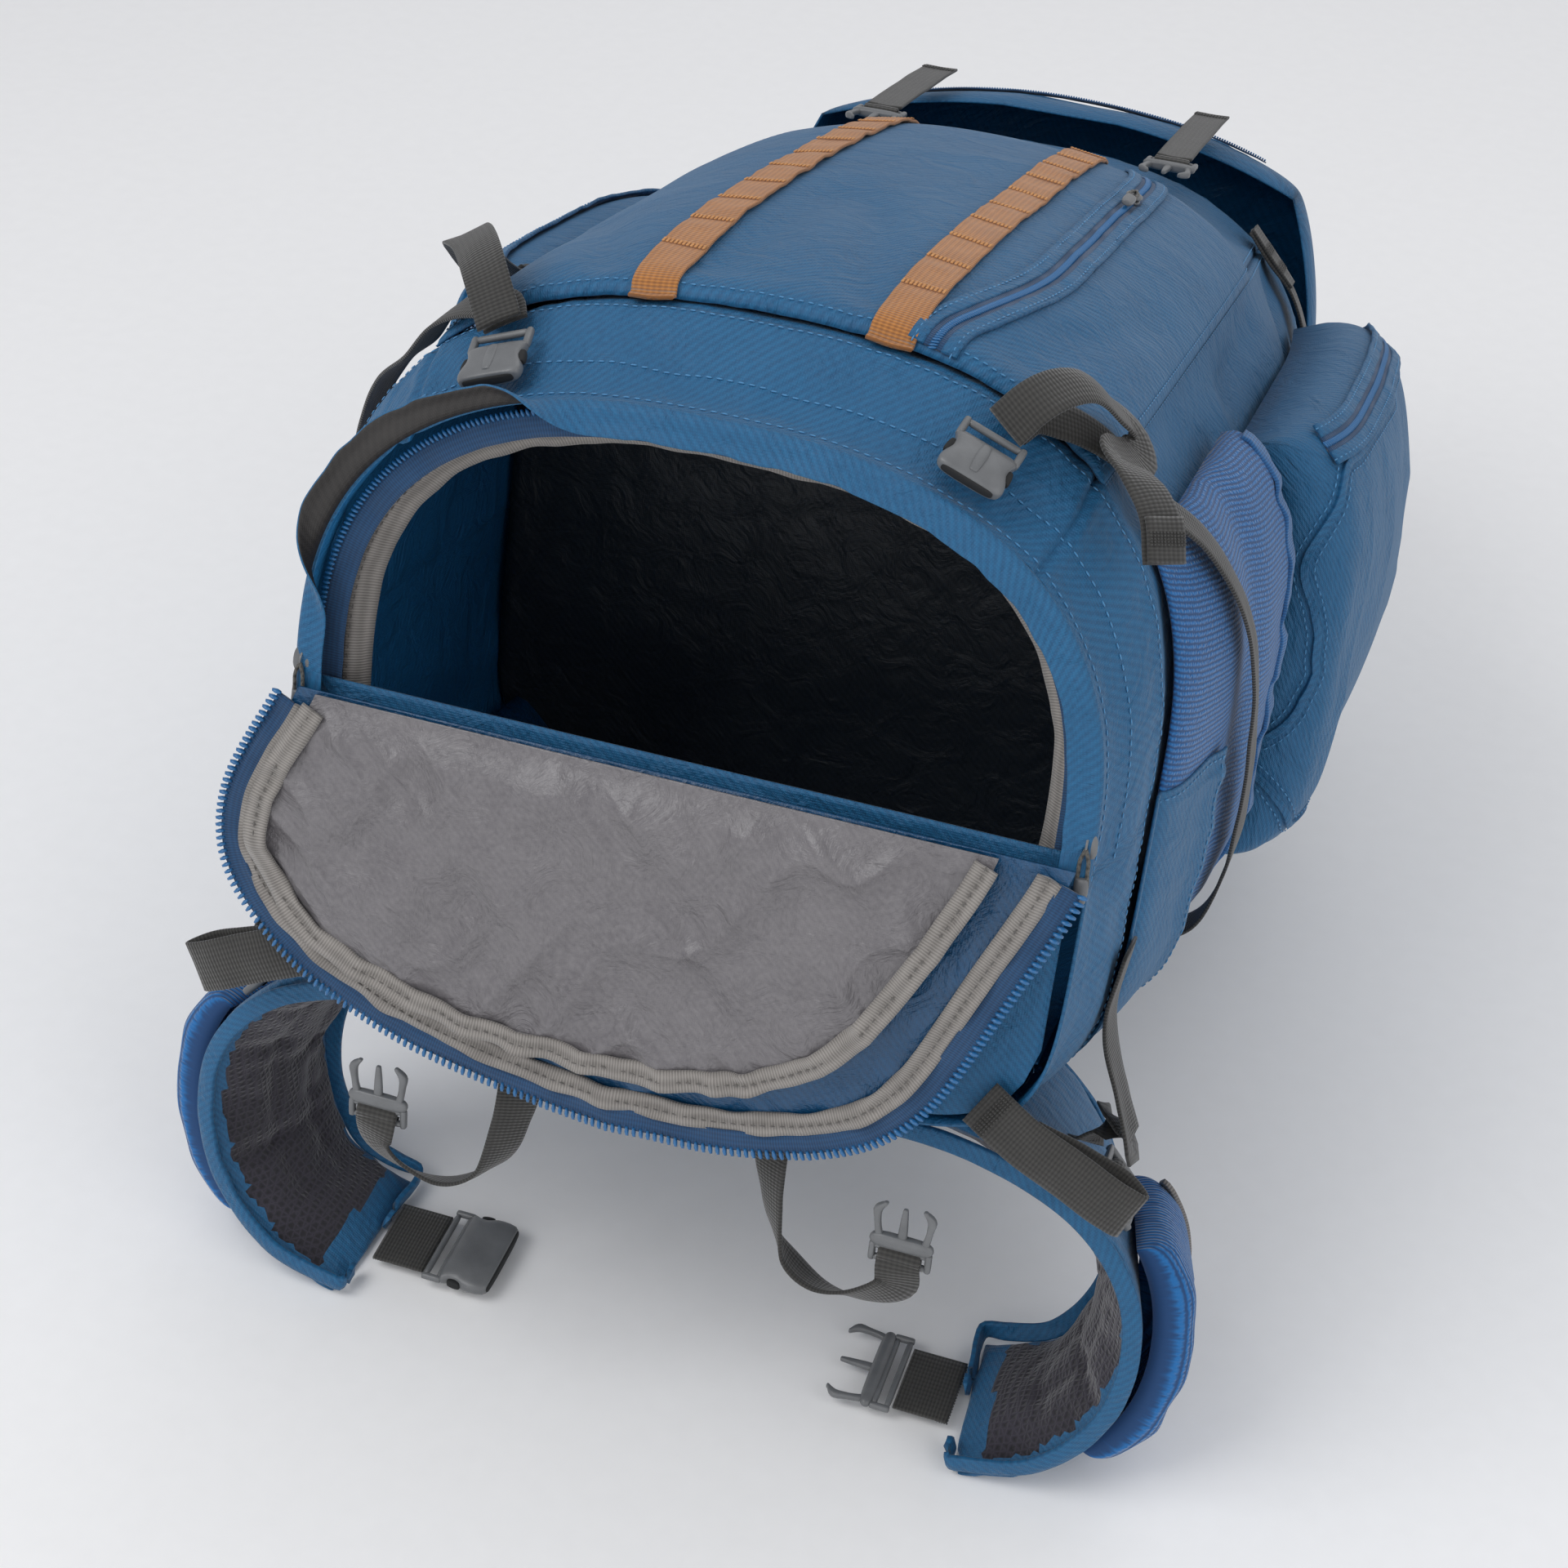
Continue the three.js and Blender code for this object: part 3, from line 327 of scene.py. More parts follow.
def lay_grid(name, points, across, along, materials, ring=False):
    """A sheet of quads through rows of places; its UV map counts the cloth's own millimetres."""
    rows, columns = points.shape[:2]
    mesh = bpy.data.meshes.new(name)
    last = columns if ring else columns - 1
    i, j = np.meshgrid(np.arange(rows - 1), np.arange(last), indexing="ij")
    k = (j + 1) % columns
    quads = np.stack([i * columns + j, (i + 1) * columns + j, (i + 1) * columns + k, i * columns + k], -1)
    mesh.from_pydata(placed(points).reshape(-1, 3).tolist(), [], quads.reshape(-1, 4).tolist())
    u = np.broadcast_to(across, (rows, columns))
    if ring:
        u = np.concatenate([u, u[:, :1] + (u[:, -1:] - u[:, :1]) * columns / (columns - 1)], 1)
    v = np.broadcast_to(along, (rows, columns))
    v = np.concatenate([v, v[:, :1]], 1)
    corners = [(i, j), (i + 1, j), (i + 1, j + 1), (i, j + 1)]
    uv = np.stack([np.stack([u[a, b], v[a, b]], -1) for a, b in corners], 2)
    mesh.uv_layers.new(name="cloth_mm").data.foreach_set("uv", uv.reshape(-1).astype(np.float32))
    for material in materials:
        mesh.materials.append(material)
    mesh.shade_smooth()
    return in_scene(name, mesh)


def thicken(piece, thickness, inside=0):
    """Gives a sheet its thickness behind its face; inside is the material that its back shows."""
    solid = piece.modifiers.new("thickness", "SOLIDIFY")
    solid.thickness, solid.offset = thickness / 1000, -1
    solid.material_offset = inside


def held(piece, body, slot, *nodes):
    """Fixes a piece to its body and lets it stand in for the plain nodes it shows; slot is not used."""
    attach(piece, body)
    if nodes:
        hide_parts(*nodes)
    return piece


def threads(tree, pitch, uv_map=True):
    """Two sets of thread ridges at right angles and the twill line between them, as one height."""
    source = add_node(tree, "ShaderNodeTexCoord")
    place = source.outputs["UV"]
    if not uv_map:
        scaled = add_node(tree, "ShaderNodeVectorMath", {0: source.outputs["Object"], 1: (1000,) * 3},
                          operation="MULTIPLY")
        place = scaled.outputs["Vector"]
    ridge = [add_node(tree, "ShaderNodeTexWave", {"Vector": place, "Scale": 0.314 / pitch, "Distortion": 0.6,
                                                  "Detail": 1.0, "Detail Scale": 1.5}, bands_direction=axis)
             for axis in ("X", "Y")]
    twill = add_node(tree, "ShaderNodeTexWave", {"Vector": place, "Scale": 0.157 / pitch, "Distortion": 0.4,
                                                 "Detail": 1.0}, bands_direction="DIAGONAL")
    both = add_node(tree, "ShaderNodeMath", {0: ridge[0].outputs["Fac"], 1: ridge[1].outputs["Fac"]},
                    operation="MULTIPLY")
    height = add_node(tree, "ShaderNodeMath", {0: both.outputs[0], 1: twill.outputs["Fac"]}, operation="ADD")
    return place, height.outputs[0]


def ramped(tree, shader, value, low, dark, high, light):
    """Gives the shader a colour, from dark where a value is low to light where it is high."""
    ramp = add_node(tree, "ShaderNodeValToRGB", {"Fac": value})
    for number, (at, shade) in enumerate([(low, dark), (high, light)]):
        stop = ramp.color_ramp.elements[number]
        stop.position, stop.color = at, linear(shade)
    tree.links.new(ramp.outputs["Color"], shader.inputs["Base Color"])


def bumped(tree, shader, height, distance, inputs=None, **settings):
    """Gives the shader a surface raised by a height, over a distance in millimetres."""
    bump = add_node(tree, "ShaderNodeBump", {"Height": height, "Distance": distance / 1000, **(inputs or {})},
                    **settings)
    tree.links.new(bump.outputs["Normal"], shader.inputs["Normal"])
    return bump.outputs["Normal"]


def woven(name, light, dark, pitch, depth, roughness, crinkle=0.0, uv_map=True, twill=0.5, **shader_values):
    """A woven cloth: threads at their pitch, a slow change of shade, and the small crinkles of handling."""
    made, tree, shader = new_material(name, roughness=roughness, **shader_values)
    place, height = threads(tree, pitch, uv_map)
    slow = add_node(tree, "ShaderNodeTexNoise", {"Vector": place, "Scale": 0.02, "Detail": 4.0})
    fine = add_node(tree, "ShaderNodeTexNoise", {"Vector": place, "Scale": 0.35, "Detail": 3.0})
    shade = add_node(tree, "ShaderNodeMath", {0: height, 1: twill, 2: 0.75 * (1 - twill)},
                     operation="MULTIPLY_ADD")
    blotch = add_node(tree, "ShaderNodeMix", {"Factor": slow.outputs["Fac"], "A": fine.outputs["Fac"],
                                              "B": shade.outputs[0]}, data_type="FLOAT")
    ramped(tree, shader, blotch.outputs["Result"], 0.2, dark, 0.95, light)
    weave_normal = bumped(tree, shader, height, depth, {"Strength": 0.8})
    if crinkle:
        folds = add_node(tree, "ShaderNodeTexNoise", {"Vector": place, "Scale": 0.05, "Detail": 5.0,
                                                      "Roughness": 0.6, "Distortion": 1.2})
        bumped(tree, shader, folds.outputs["Fac"], crinkle, {"Normal": weave_normal})
    return made


# 420 denier nylon, dyed in the piece: a dull twill face. Its threads are 0.3 mm, drawn at 1.1 mm to show.
pack_cloth = woven("dyed nylon pack cloth", "#186592", "#0D466E", 1.1, 0.16, 0.6, 2.8,
                   sheen_weight=0.1, sheen_roughness=0.4)
# The same cloth's back, sealed with polyurethane: darker and slicker.
coated_back = woven("polyurethane coated nylon", "#114E78", "#0A3A5E", 1.1, 0.08, 0.36, 3.0,
                    coat_weight=0.15, coat_roughness=0.3)
# The cloth's inside where light reaches it through the mouth: its lighter colour is painted light, not the cloth's
# own.
painted_light_inner_cloth = woven("blue inner cloth with painted light", "#2C7DB4", "#1B5F92", 1.1, 0.1, 0.5, 3.0, twill=0.3)


def panel(name, y_from, y_to, around_from, around_to, rows, columns, node):
    """One cut piece of pack cloth on the body."""
    y, around = np.meshgrid(np.linspace(y_from, y_to, rows), np.linspace(around_from, around_to, columns),
                            indexing="ij")
    # The panel's back shows the inner cloth, painted lighter as if lit through the mouth.
    made = lay_grid(name, cloth(y, around), around * GIRTH, y, [pack_cloth, painted_light_inner_cloth])
    thicken(made, CLOTH, inside=1)
    held(made, "pack", "pack_cloth", node)


panel("front_cloth", BAND_LENGTH, BODY_LENGTH, SIDE_TO, 1 - SIDE_TO, 180, 120, "front_panel")
panel("side_cloth_right", BAND_LENGTH, BODY_LENGTH, SIDE_FROM, SIDE_TO, 180, 108, "side_panel_right")
panel("side_cloth_left", BAND_LENGTH, BODY_LENGTH, 1 - SIDE_TO, 1 - SIDE_FROM, 180, 108, "side_panel_left")
panel("back_cloth", 0, BODY_LENGTH, -SIDE_FROM, SIDE_FROM, 120, 80, "back_panel")
panel("mouth_band_cloth", -1.5, BAND_LENGTH, SIDE_FROM, 1 - SIDE_FROM, 34, 520, "lower_band")


# ---- Mouth: hem, storm flap, zip and its binding ----
# The band's edge is turned under as a storm flap that covers the zip; on the wearer's left it stands open and
# shows its dark back. Inside it runs one half of a coil zip on its tape, bound with grey grosgrain.
DOOR_SILL = 143  # height of the door's fold above the back
MOUTH_FROM = np.interp(DOOR_SILL, bare(0, np.linspace(0.13, 0.4, 200))[:, 2], np.linspace(0.13, 0.4, 200))
FLAP_REACH = 15
TAPE_WIDTH, TAPE_Y, TAPE_LIFT = 11, 3.5, -7
BINDING_WIDTH, BINDING_Y = 13, TAPE_Y + 5
BINDING_LIFT = TAPE_LIFT - TAPE_WIDTH - BINDING_WIDTH / 2 + 2

mouth = np.linspace(MOUTH_FROM - 0.006, 1 - MOUTH_FROM + 0.006, 520)
flap_open = smooth((mouth - 0.545) / 0.04) * smooth((0.715 - mouth) / 0.05)  # 1 where the flap stands open
flap_lean = np.radians(mix(62, -52, flap_open)) + 0.25 * noise(mouth * GIRTH / 40, 0, 11)


def mouth_place(y, lift):
    """A line round the mouth, at a height and a lift off the body's face."""
    return skin(np.broadcast_to(y, mouth.shape), mouth, np.broadcast_to(lift, mouth.shape))


def rounded(piece):
    """Rounds a piece off by one level of subdivision."""
    rounder = piece.modifiers.new("rounder", "SUBSURF")
    rounder.levels = rounder.render_levels = 1


flap_rows = []
for part in np.linspace(0, 1, 8):
    bend = flap_lean * smooth(part * 1.6)
    reach = FLAP_REACH * part
    flap_rows.append(mouth_place(-1 - reach * np.cos(bend) - 1.0, 0.6 - reach * np.sin(bend)
                                 + 0.7 * part * noise(mouth * GIRTH / 9, part, 12)))
flap_dark = woven("black coated flap back", "#34312F", "#211F1E", 1.1, 0.08, 0.5)
storm_flap = lay_grid("storm_flap", np.array(flap_rows)[::-1], mouth * GIRTH,
                      np.linspace(FLAP_REACH, 0, 8)[:, None], [pack_cloth, flap_dark])
thicken(storm_flap, 1.3, inside=1)
rounded(storm_flap)


def spline(points, step):
    """A smooth curve through given places, sampled about every step."""
    p = np.asarray(points, float)
    gap = np.maximum(np.linalg.norm(np.diff(p, axis=0), axis=1), 1e-6)
    knots = np.concatenate([[0], np.cumsum(gap)])
    slope = np.gradient(p, knots, axis=0) if len(p) > 2 else np.repeat((p[1] - p[0])[None] / gap[0], 2, 0)
    at = np.linspace(0, knots[-1], max(int(knots[-1] / step) + 1, 3))
    k = np.clip(np.searchsorted(knots, at, side="right") - 1, 0, len(gap) - 1)
    t = ((at - knots[k]) / gap[k])[:, None]
    h = gap[k][:, None]
    return ((1 + 2 * t) * (1 - t) ** 2 * p[k] + t * (1 - t) ** 2 * h * slope[k]
            + t * t * (3 - 2 * t) * p[k + 1] + t * t * (t - 1) * h * slope[k + 1])


def unit(v):
    """Directions, each one long."""
    return v / np.maximum(np.linalg.norm(v, axis=-1, keepdims=True), 1e-9)


def ribbon(name, route, faces, width, thickness, materials, wave=0.0, wave_length=9.0, seed=1, cup=0.0):
    """A strap along a route, facing the way that faces says; wave lifts its two edges unevenly."""
    along = unit(np.gradient(route, axis=0))
    face = unit(faces - np.sum(faces * along, -1, keepdims=True) * along)
    side = np.cross(face, along)
    walked = distance_along(route)
    half = np.array([-1, -0.97, -0.6, -0.2, 0.2, 0.6, 0.97, 1])
    across = np.concatenate([half, half[::-1]])
    edge = np.abs(half) > 0.99
    level = np.concatenate([np.where(edge, 0.25, 0.5), -np.where(edge, 0.25, 0.5)[::-1]])
    ring = []
    for a, b in zip(across, level):
        rise = thickness * b + wave * noise(walked / wave_length, 0.9 * a + 7, seed) + cup * a * a
        ring.append(route + side * (a * width / 2) + face * rise[:, None])
    points = np.stack(ring, 1)
    points = np.concatenate([points[:1].mean(1, keepdims=True).repeat(16, 1), points,
                             points[-1:].mean(1, keepdims=True).repeat(16, 1)])
    walked = np.concatenate([[walked[0]], walked, [walked[-1]]])
    return lay_grid(name, points, across[None] * width / 2, walked[:, None], materials, ring=True)


def grosgrain(name, light, dark, rib, rows, depth, roughness):
    """A ribbed tape: ribs across it and finer rows of cords along it, each at its own pitch."""
    made, tree, shader = new_material(name, roughness=roughness, sheen_weight=0.25, sheen_roughness=0.5)
    place = add_node(tree, "ShaderNodeTexCoord").outputs["UV"]
    ribs = add_node(tree, "ShaderNodeTexWave", {"Vector": place, "Scale": 0.314 / rib, "Distortion": 0.5,
                                                "Detail": 1.0}, bands_direction="Y")
    cords = add_node(tree, "ShaderNodeTexWave", {"Vector": place, "Scale": 0.314 / rows, "Distortion": 0.3,
                                                 "Detail": 1.0}, bands_direction="X")
    height = add_node(tree, "ShaderNodeMix", {"Factor": 0.35, "A": ribs.outputs["Fac"],
                                              "B": cords.outputs["Fac"]}, data_type="FLOAT")
    slow = add_node(tree, "ShaderNodeTexNoise", {"Vector": place, "Scale": 0.06, "Detail": 3.0})
    blotch = add_node(tree, "ShaderNodeMix", {"Factor": 0.4, "A": height.outputs["Result"],
                                              "B": slow.outputs["Fac"]}, data_type="FLOAT")
    ramped(tree, shader, blotch.outputs["Result"], 0.25, dark, 0.8, light)
    bumped(tree, shader, height.outputs["Result"], depth)
    return made


# Polyester grosgrain has a rib every 0.8 mm, drawn at 1.3 mm to show.
grey_binding = grosgrain("grey polyester grosgrain", "#98938E", "#6C6864", 1.3, 6.0, 0.3, 0.75)
navy_tape = grosgrain("navy knitted zip tape", "#1B4A74", "#0F3355", 1.2, 2.4, 0.2, 0.8)


def bead_tree():
    """Geometry Nodes: one rounded bead after another along the edges of a mesh, square to its stored face."""
    tree = bpy.data.node_groups.new("beads_along_a_line", "GeometryNodeTree")
    face_of = tree.interface
    face_of.new_socket("Geometry", in_out="INPUT", socket_type="NodeSocketGeometry")
    for name in ("Spacing", "Length", "Width", "Height", "Turn"):
        face_of.new_socket(name, in_out="INPUT", socket_type="NodeSocketFloat")
    face_of.new_socket("Material", in_out="INPUT", socket_type="NodeSocketMaterial")
    face_of.new_socket("Geometry", in_out="OUTPUT", socket_type="NodeSocketGeometry")
    given = tree.nodes.new("NodeGroupInput")
    line = add_node(tree, "GeometryNodeMeshToCurve", {"Mesh": given.outputs["Geometry"]})
    even = add_node(tree, "GeometryNodeResampleCurve", {"Curve": line.outputs["Curve"],
                                                        "Length": given.outputs["Spacing"]}, mode="LENGTH")
    bead = add_node(tree, "GeometryNodeMeshUVSphere", {"Segments": 6, "Rings": 4, "Radius": 0.5})
    face = add_node(tree, "GeometryNodeInputNamedAttribute", {"Name": "face"}, data_type="FLOAT_VECTOR")
    tangent = add_node(tree, "GeometryNodeInputTangent")
    upright = add_node(tree, "FunctionNodeAlignRotationToVector", {"Vector": face.outputs["Attribute"]}, axis="Z")
    ahead = add_node(tree, "FunctionNodeAlignRotationToVector", {
        "Rotation": upright.outputs["Rotation"], "Vector": tangent.outputs["Tangent"]}, axis="X", pivot_axis="Z")
    turn_by = add_node(tree, "ShaderNodeCombineXYZ", {"Z": given.outputs["Turn"]})
    turn_rotation = add_node(tree, "FunctionNodeEulerToRotation", {"Euler": turn_by.outputs["Vector"]})
    twisted = add_node(tree, "FunctionNodeRotateRotation", {
        "Rotation": ahead.outputs["Rotation"], "Rotate By": turn_rotation.outputs["Rotation"]},
        rotation_space="LOCAL")
    size = add_node(tree, "ShaderNodeCombineXYZ", {"X": given.outputs["Length"], "Y": given.outputs["Width"],
                                                   "Z": given.outputs["Height"]})
    row = add_node(tree, "GeometryNodeInstanceOnPoints", {
        "Points": even.outputs["Curve"], "Instance": bead.outputs["Mesh"],
        "Rotation": twisted.outputs["Rotation"], "Scale": size.outputs["Vector"]})
    real = add_node(tree, "GeometryNodeRealizeInstances", {"Geometry": row.outputs["Instances"]})
    painted = add_node(tree, "GeometryNodeSetMaterial", {"Geometry": real.outputs["Geometry"],
                                                         "Material": given.outputs["Material"]})
    add_node(tree, "NodeGroupOutput", {"Geometry": painted.outputs["Geometry"]})
    return tree


BEADS = bead_tree()


def bead_rows(name, lines, spacing, size, material, body, slot, turn=0.0):
    """Stitches or zip teeth along lines of (places, faces); size is length, width and height."""
    mesh = bpy.data.meshes.new(name)
    places, faces, edges = [], [], []
    for route, face in lines:
        first = len(places)
        places += placed(route).tolist()
        faces += turned(face).tolist()
        edges += [(first + i, first + i + 1) for i in range(len(route) - 1)]
    mesh.from_pydata(places, edges, [])
    mesh.attributes.new("face", "FLOAT_VECTOR", "POINT").data.foreach_set("vector", np.ravel(faces))
    made = in_scene(name, mesh)
    repeat = made.modifiers.new("beads", "NODES")
    repeat.node_group = BEADS
    socket = {item.name: item.identifier for item in BEADS.interface.items_tree if item.in_out == "INPUT"}
    values = {"Spacing": spacing / 1000, "Length": size[0] / 1000, "Width": size[1] / 1000,
              "Height": size[2] / 1000, "Turn": turn, "Material": material}
    for key, value in values.items():
        repeat[socket[key]] = value
    shown = made.evaluated_get(bpy.context.evaluated_depsgraph_get())
    result = bpy.data.meshes.new_from_object(shown)
    made.modifiers.clear()
    made.data = result
    result.shade_smooth()
    return held(made, body, slot)


def thread_material(name, light, dark):
    made, tree, shader = new_material(name, roughness=0.55, sheen_weight=0.2)
    place = add_node(tree, "ShaderNodeTexCoord").outputs["Object"]
    tone = add_node(tree, "ShaderNodeTexNoise", {"Vector": place, "Scale": 700.0})
    tinted(tree, shader, tone.outputs["Fac"], dark, light)
    return made


# Bonded polyester thread, spun smooth: blue on the cloth, grey on the binding and charcoal on the webbing.
blue_thread = thread_material("blue bonded thread", "#4C93C4", "#2D6E9E")
grey_thread = thread_material("grey bonded thread", "#6A6662", "#4C4946")
dark_thread = thread_material("charcoal bonded thread", "#3B3A37", "#262523")

# Nylon zip coil, dyed navy: its loops catch the light as a row of dots.
coil_nylon, coil_tree, coil_shader = new_material("navy nylon zip coil", roughness=0.32, coat_weight=0.2)
tone = add_node(coil_tree, "ShaderNodeTexNoise", {"Scale": 500.0})
tinted(coil_tree, coil_shader, tone.outputs["Fac"], "#174E80", "#2F77AE")

facing_out = np.broadcast_to((0, -1, 0), (mouth.size, 3)).astype(float)
tape = ribbon("mouth_zip_tape", mouth_place(TAPE_Y, TAPE_LIFT - TAPE_WIDTH / 2), facing_out, TAPE_WIDTH, 0.9,
              [navy_tape], wave=0.7, seed=3)
binding_face = unit(facing_out * 0.8 - normals_of(bare, np.full(mouth.shape, 6.0), mouth) * 0.6)
binding = ribbon("mouth_binding", mouth_place(BINDING_Y, BINDING_LIFT), binding_face, BINDING_WIDTH, 1.6,
                 [grey_binding], wave=1.2, wave_length=13, seed=4)
held(storm_flap, "pack", "pack_cloth")
held(tape, "pack", "webbing")
held(binding, "pack", "webbing")
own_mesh(storm_flap)
coil_line = mouth_place(TAPE_Y - 0.9, TAPE_LIFT + 0.6)
bead_rows("mouth_zip_coil", [(coil_line, facing_out)], 2.3, (1.5, 4.0, 1.7), coil_nylon, "pack", "buckle_nylon",
          turn=0.2)
hem_rows = []
for y, raise_by in ((4.5, 1.0), (22, 0.9)):
    level_y = np.full(mouth.shape, float(y))
    face = normals_of(bare, level_y, mouth)
    hem_rows.append((cloth(level_y, mouth) + face * 0.4 * raise_by, face))
bead_rows("mouth_hem_stitches", hem_rows, 4.6, (3.3, 0.9, 0.7), blue_thread, "pack", "pack_cloth")
binding_row = mouth_place(BINDING_Y - 2.6, BINDING_LIFT + 4.2) + binding_face
bead_rows("mouth_binding_stitches", [(binding_row, binding_face)], 4.6, (2.8, 0.9, 0.8), grey_thread, "pack",
          "webbing")


def stitch_line(surface, path, raise_by=0.35, step=3.0):
    """A line of stitching on a surface through (y, around) places."""
    p = np.asarray(path, float) * (1, GIRTH)
    fine = spline(p, step) / (1, GIRTH)
    face = normals_of(surface, fine[:, 0], fine[:, 1])
    return surface(fine[:, 0], fine[:, 1]) + face * raise_by, face


def stitched(name, lines, body="pack", height=0.7):
    """Lines of blue stitching on cloth."""
    bead_rows(name, lines, 4.2, (3.0, 0.8, height), blue_thread, body, "pack_cloth")


SEAM_STITCH_OFF = 4.2  # from a seam to each line of stitching beside it
seam_lines = []
for seam in SEAMS:
    for off in (SEAM_STITCH_OFF, -SEAM_STITCH_OFF):
        at = seam + off / GIRTH
        seam_lines.append(stitch_line(cloth, [(BAND_LENGTH + 6, at), (BODY_LENGTH - 4, at)]))
band_stitch = BAND_LENGTH - SEAM_STITCH_OFF
seam_lines.append(stitch_line(cloth, [(band_stitch, SIDE_FROM + 0.004), (band_stitch, 0.5),
                                      (band_stitch, 1 - SIDE_FROM - 0.004)], step=4))
stitched("body_seam_stitches", seam_lines, height=0.6)


# ---- Bottom panel, inner lining and divider ----
# Below the door's fold a plain panel closes the bottom end. Inside, a coated lining covers the frame sheet,
# and a slack divider, sewn in across the bag, makes the bottom compartment.
def across_panel(name, y, low, high, bulge, material, node, seed):
    """A panel that fills the body's section, from one height to another above the back."""
    a, b = np.linspace(0.985, -0.985, 70), np.linspace(0, 1, 50)
    reach = np.where(np.abs(a) < 1, (1 - np.abs(a) ** 6) ** (1 / 6), 0)
    upper = (1 - np.abs(a) ** 2.5) ** (1 / 2.5)
    width, depth = half_width(y) - 5, half_depth(y) - 5
    bottom = np.maximum(low, depth + 5 - reach * depth)
    top = np.minimum(high, depth + 5 + upper * depth)
    z = bottom + (top - bottom) * b[:, None]
    x = np.broadcast_to(a * width, z.shape)
    crown = (1 - a ** 2) * (1 - (2 * b[:, None] - 1) ** 2)
    soft = 1.6 * noise(x / 50, z / 50, seed) + 1.3 * crease(x / 70, z / 45, seed + 1) - 1
    points = np.stack([x, y - bulge * crown - soft * np.minimum(crown * 4, 1), z], -1)
    made = lay_grid(name, points, x, z, [material])
    thicken(made, 1.2)
    held(made, "pack", "pack_cloth", node)


# The divider is coloured charcoal as painted shade for the deep, dim compartment.
divider_lining_painted_shade = woven("coated divider lining darkened as painted shade", "#2B3238", "#181D22", 1.1, 0.06, 0.5, 3.0)
across_panel("bottom_cloth", 0.5, 0, DOOR_SILL + 2, 4, pack_cloth, "bottom_panel", 21)
across_panel("divider_cloth", 245, 18, 400, 9, divider_lining_painted_shade, "divider_panel", 24)
x, y = np.meshgrid(np.linspace(-168, 168, 60), np.linspace(6, 596, 90), indexing="ij")
z = 17 + 1.6 * noise(x / 40, y / 60, 27) + 2.2 * crease(x / 90, y / 70, 28) + 26 * smooth((np.abs(x) - 132) / 36)
sleeve = lay_grid("frame_sleeve_lining", np.stack([x, y, z], -1), x, y, [coated_back])
thicken(sleeve, 0.8)
held(sleeve, "pack", "lining")


# ---- Door ----
# The bottom door hangs open, inside out. Its coated cloth carries the other half of the coil zip on its rim,
# a wavy grey binding inside that, and a smaller flap of grey lining, bound and stitched, that hangs over it.
DOOR_HALF, DOOR_LENGTH = 172, 164
DOOR_FACE = -11.5  # how far in front of the bottom end the open door hangs


def rim(half_from, half_to, length, count):
    """The door's curved edge from its left corner down and up to its right corner: x and drop."""
    fine = np.linspace(math.pi, 0, 720)
    x = np.sign(np.cos(fine)) * np.abs(np.cos(fine)) ** 0.8
    x = mix(half_from, half_to, (x + 1) / 2)
    drop = length * np.abs(np.sin(fine)) ** 0.66
    x = x - (24 + 9 * smooth(-x / 120)) * np.sin(math.pi * np.minimum(drop / DOOR_LENGTH * 0.92, 1)) ** 1.2
    far = distance_along(np.stack([x, drop], -1))
    even = np.linspace(0, far[-1], count)
    return np.interp(even, far, x), np.interp(even, far, drop)


def door_surface(half_from, half_to, length, rows, columns, seed, out, crinkle):
    """The hanging cloth of the door: its x, its y in soft folds and crinkles, and its drop from the sill."""
    edge_x, edge_drop = rim(half_from, half_to, length, columns)
    top_x = np.linspace(half_from, half_to, columns)
    t = np.linspace(0, 1, rows)[:, None]
    x, drop = mix(top_x, edge_x, t), edge_drop * t
    swing = np.sin(math.pi * np.minimum(drop / length * 0.8, 1))
    soft = 3.2 * noise(x / 62, drop / 90, 31) + 1.8 * noise(x / 26 + drop / 60, drop / 40, 32)
    sharp = crinkle * (crease((x + 0.7 * drop) / 30, (drop - 0.6 * x) / 48, seed)
                       + 0.7 * crease((x - drop) / 22, (x + drop) / 60, seed + 1))
    fade = smooth(drop / 18)
    y = DOOR_FACE - out - (3.5 * swing + (soft + sharp) * fade)
    return x, y, drop


def hang(x, y, drop):
    """Places of the hanging door, by how far they are below the sill."""
    return np.stack([x, y, DOOR_SILL - drop], -1)


x, y, drop = door_surface(-DOOR_HALF, DOOR_HALF, DOOR_LENGTH, 90, 170, 34, 0, 0.9)
door_outer = lay_grid("door_cloth", hang(x, y, drop), x, -drop, [coated_back, pack_cloth])
thicken(door_outer, 1.2, inside=1)

# Grey polyurethane coated taffeta: smooth and slightly glossy, and it keeps every crinkle.
grey_lining = woven("grey coated taffeta lining", "#7D7A7C", "#4C494E", 1.0, 0.04, 0.34, 3.4, twill=0.12,
                    coat_weight=0.3, coat_roughness=0.28)
LINING_FROM, LINING_TO, LINING_LENGTH = -162, 141, 140
lining_x, lining_y, lining_drop = door_surface(LINING_FROM, LINING_TO, LINING_LENGTH, 120, 200, 41, 4.0, 5.2)
door_lining = lay_grid("door_lining", hang(lining_x, lining_y, lining_drop), lining_x, -lining_drop,
                       [grey_lining])
thicken(door_lining, 0.6)


def rim_ribbon(name, x, y, drop, inset, width, thickness, material, wave, seed):
    """Tape along a rim, its middle drawn in from the edge; with the tape's route and the way it faces."""
    route = hang(x[-1], y[-1], drop[-1])
    along = unit(np.gradient(route, axis=0))
    inward = np.cross(along, (0, -1, 0))
    inward *= np.sign(np.sum(inward * (hang(x[-5], y[-5], drop[-5]) - route), -1, keepdims=True))
    route = route + inward * inset + np.array((0, -1, 0)) * (thickness / 2 + 0.4 + 0.45 * wave)
    route = route[2:-2]
    face = np.broadcast_to((0, -1, 0), route.shape).astype(float)
    made = ribbon(name, route, face, width, thickness, [material], wave=wave, wave_length=12, seed=seed)
    return held(made, "door", "webbing"), route, face


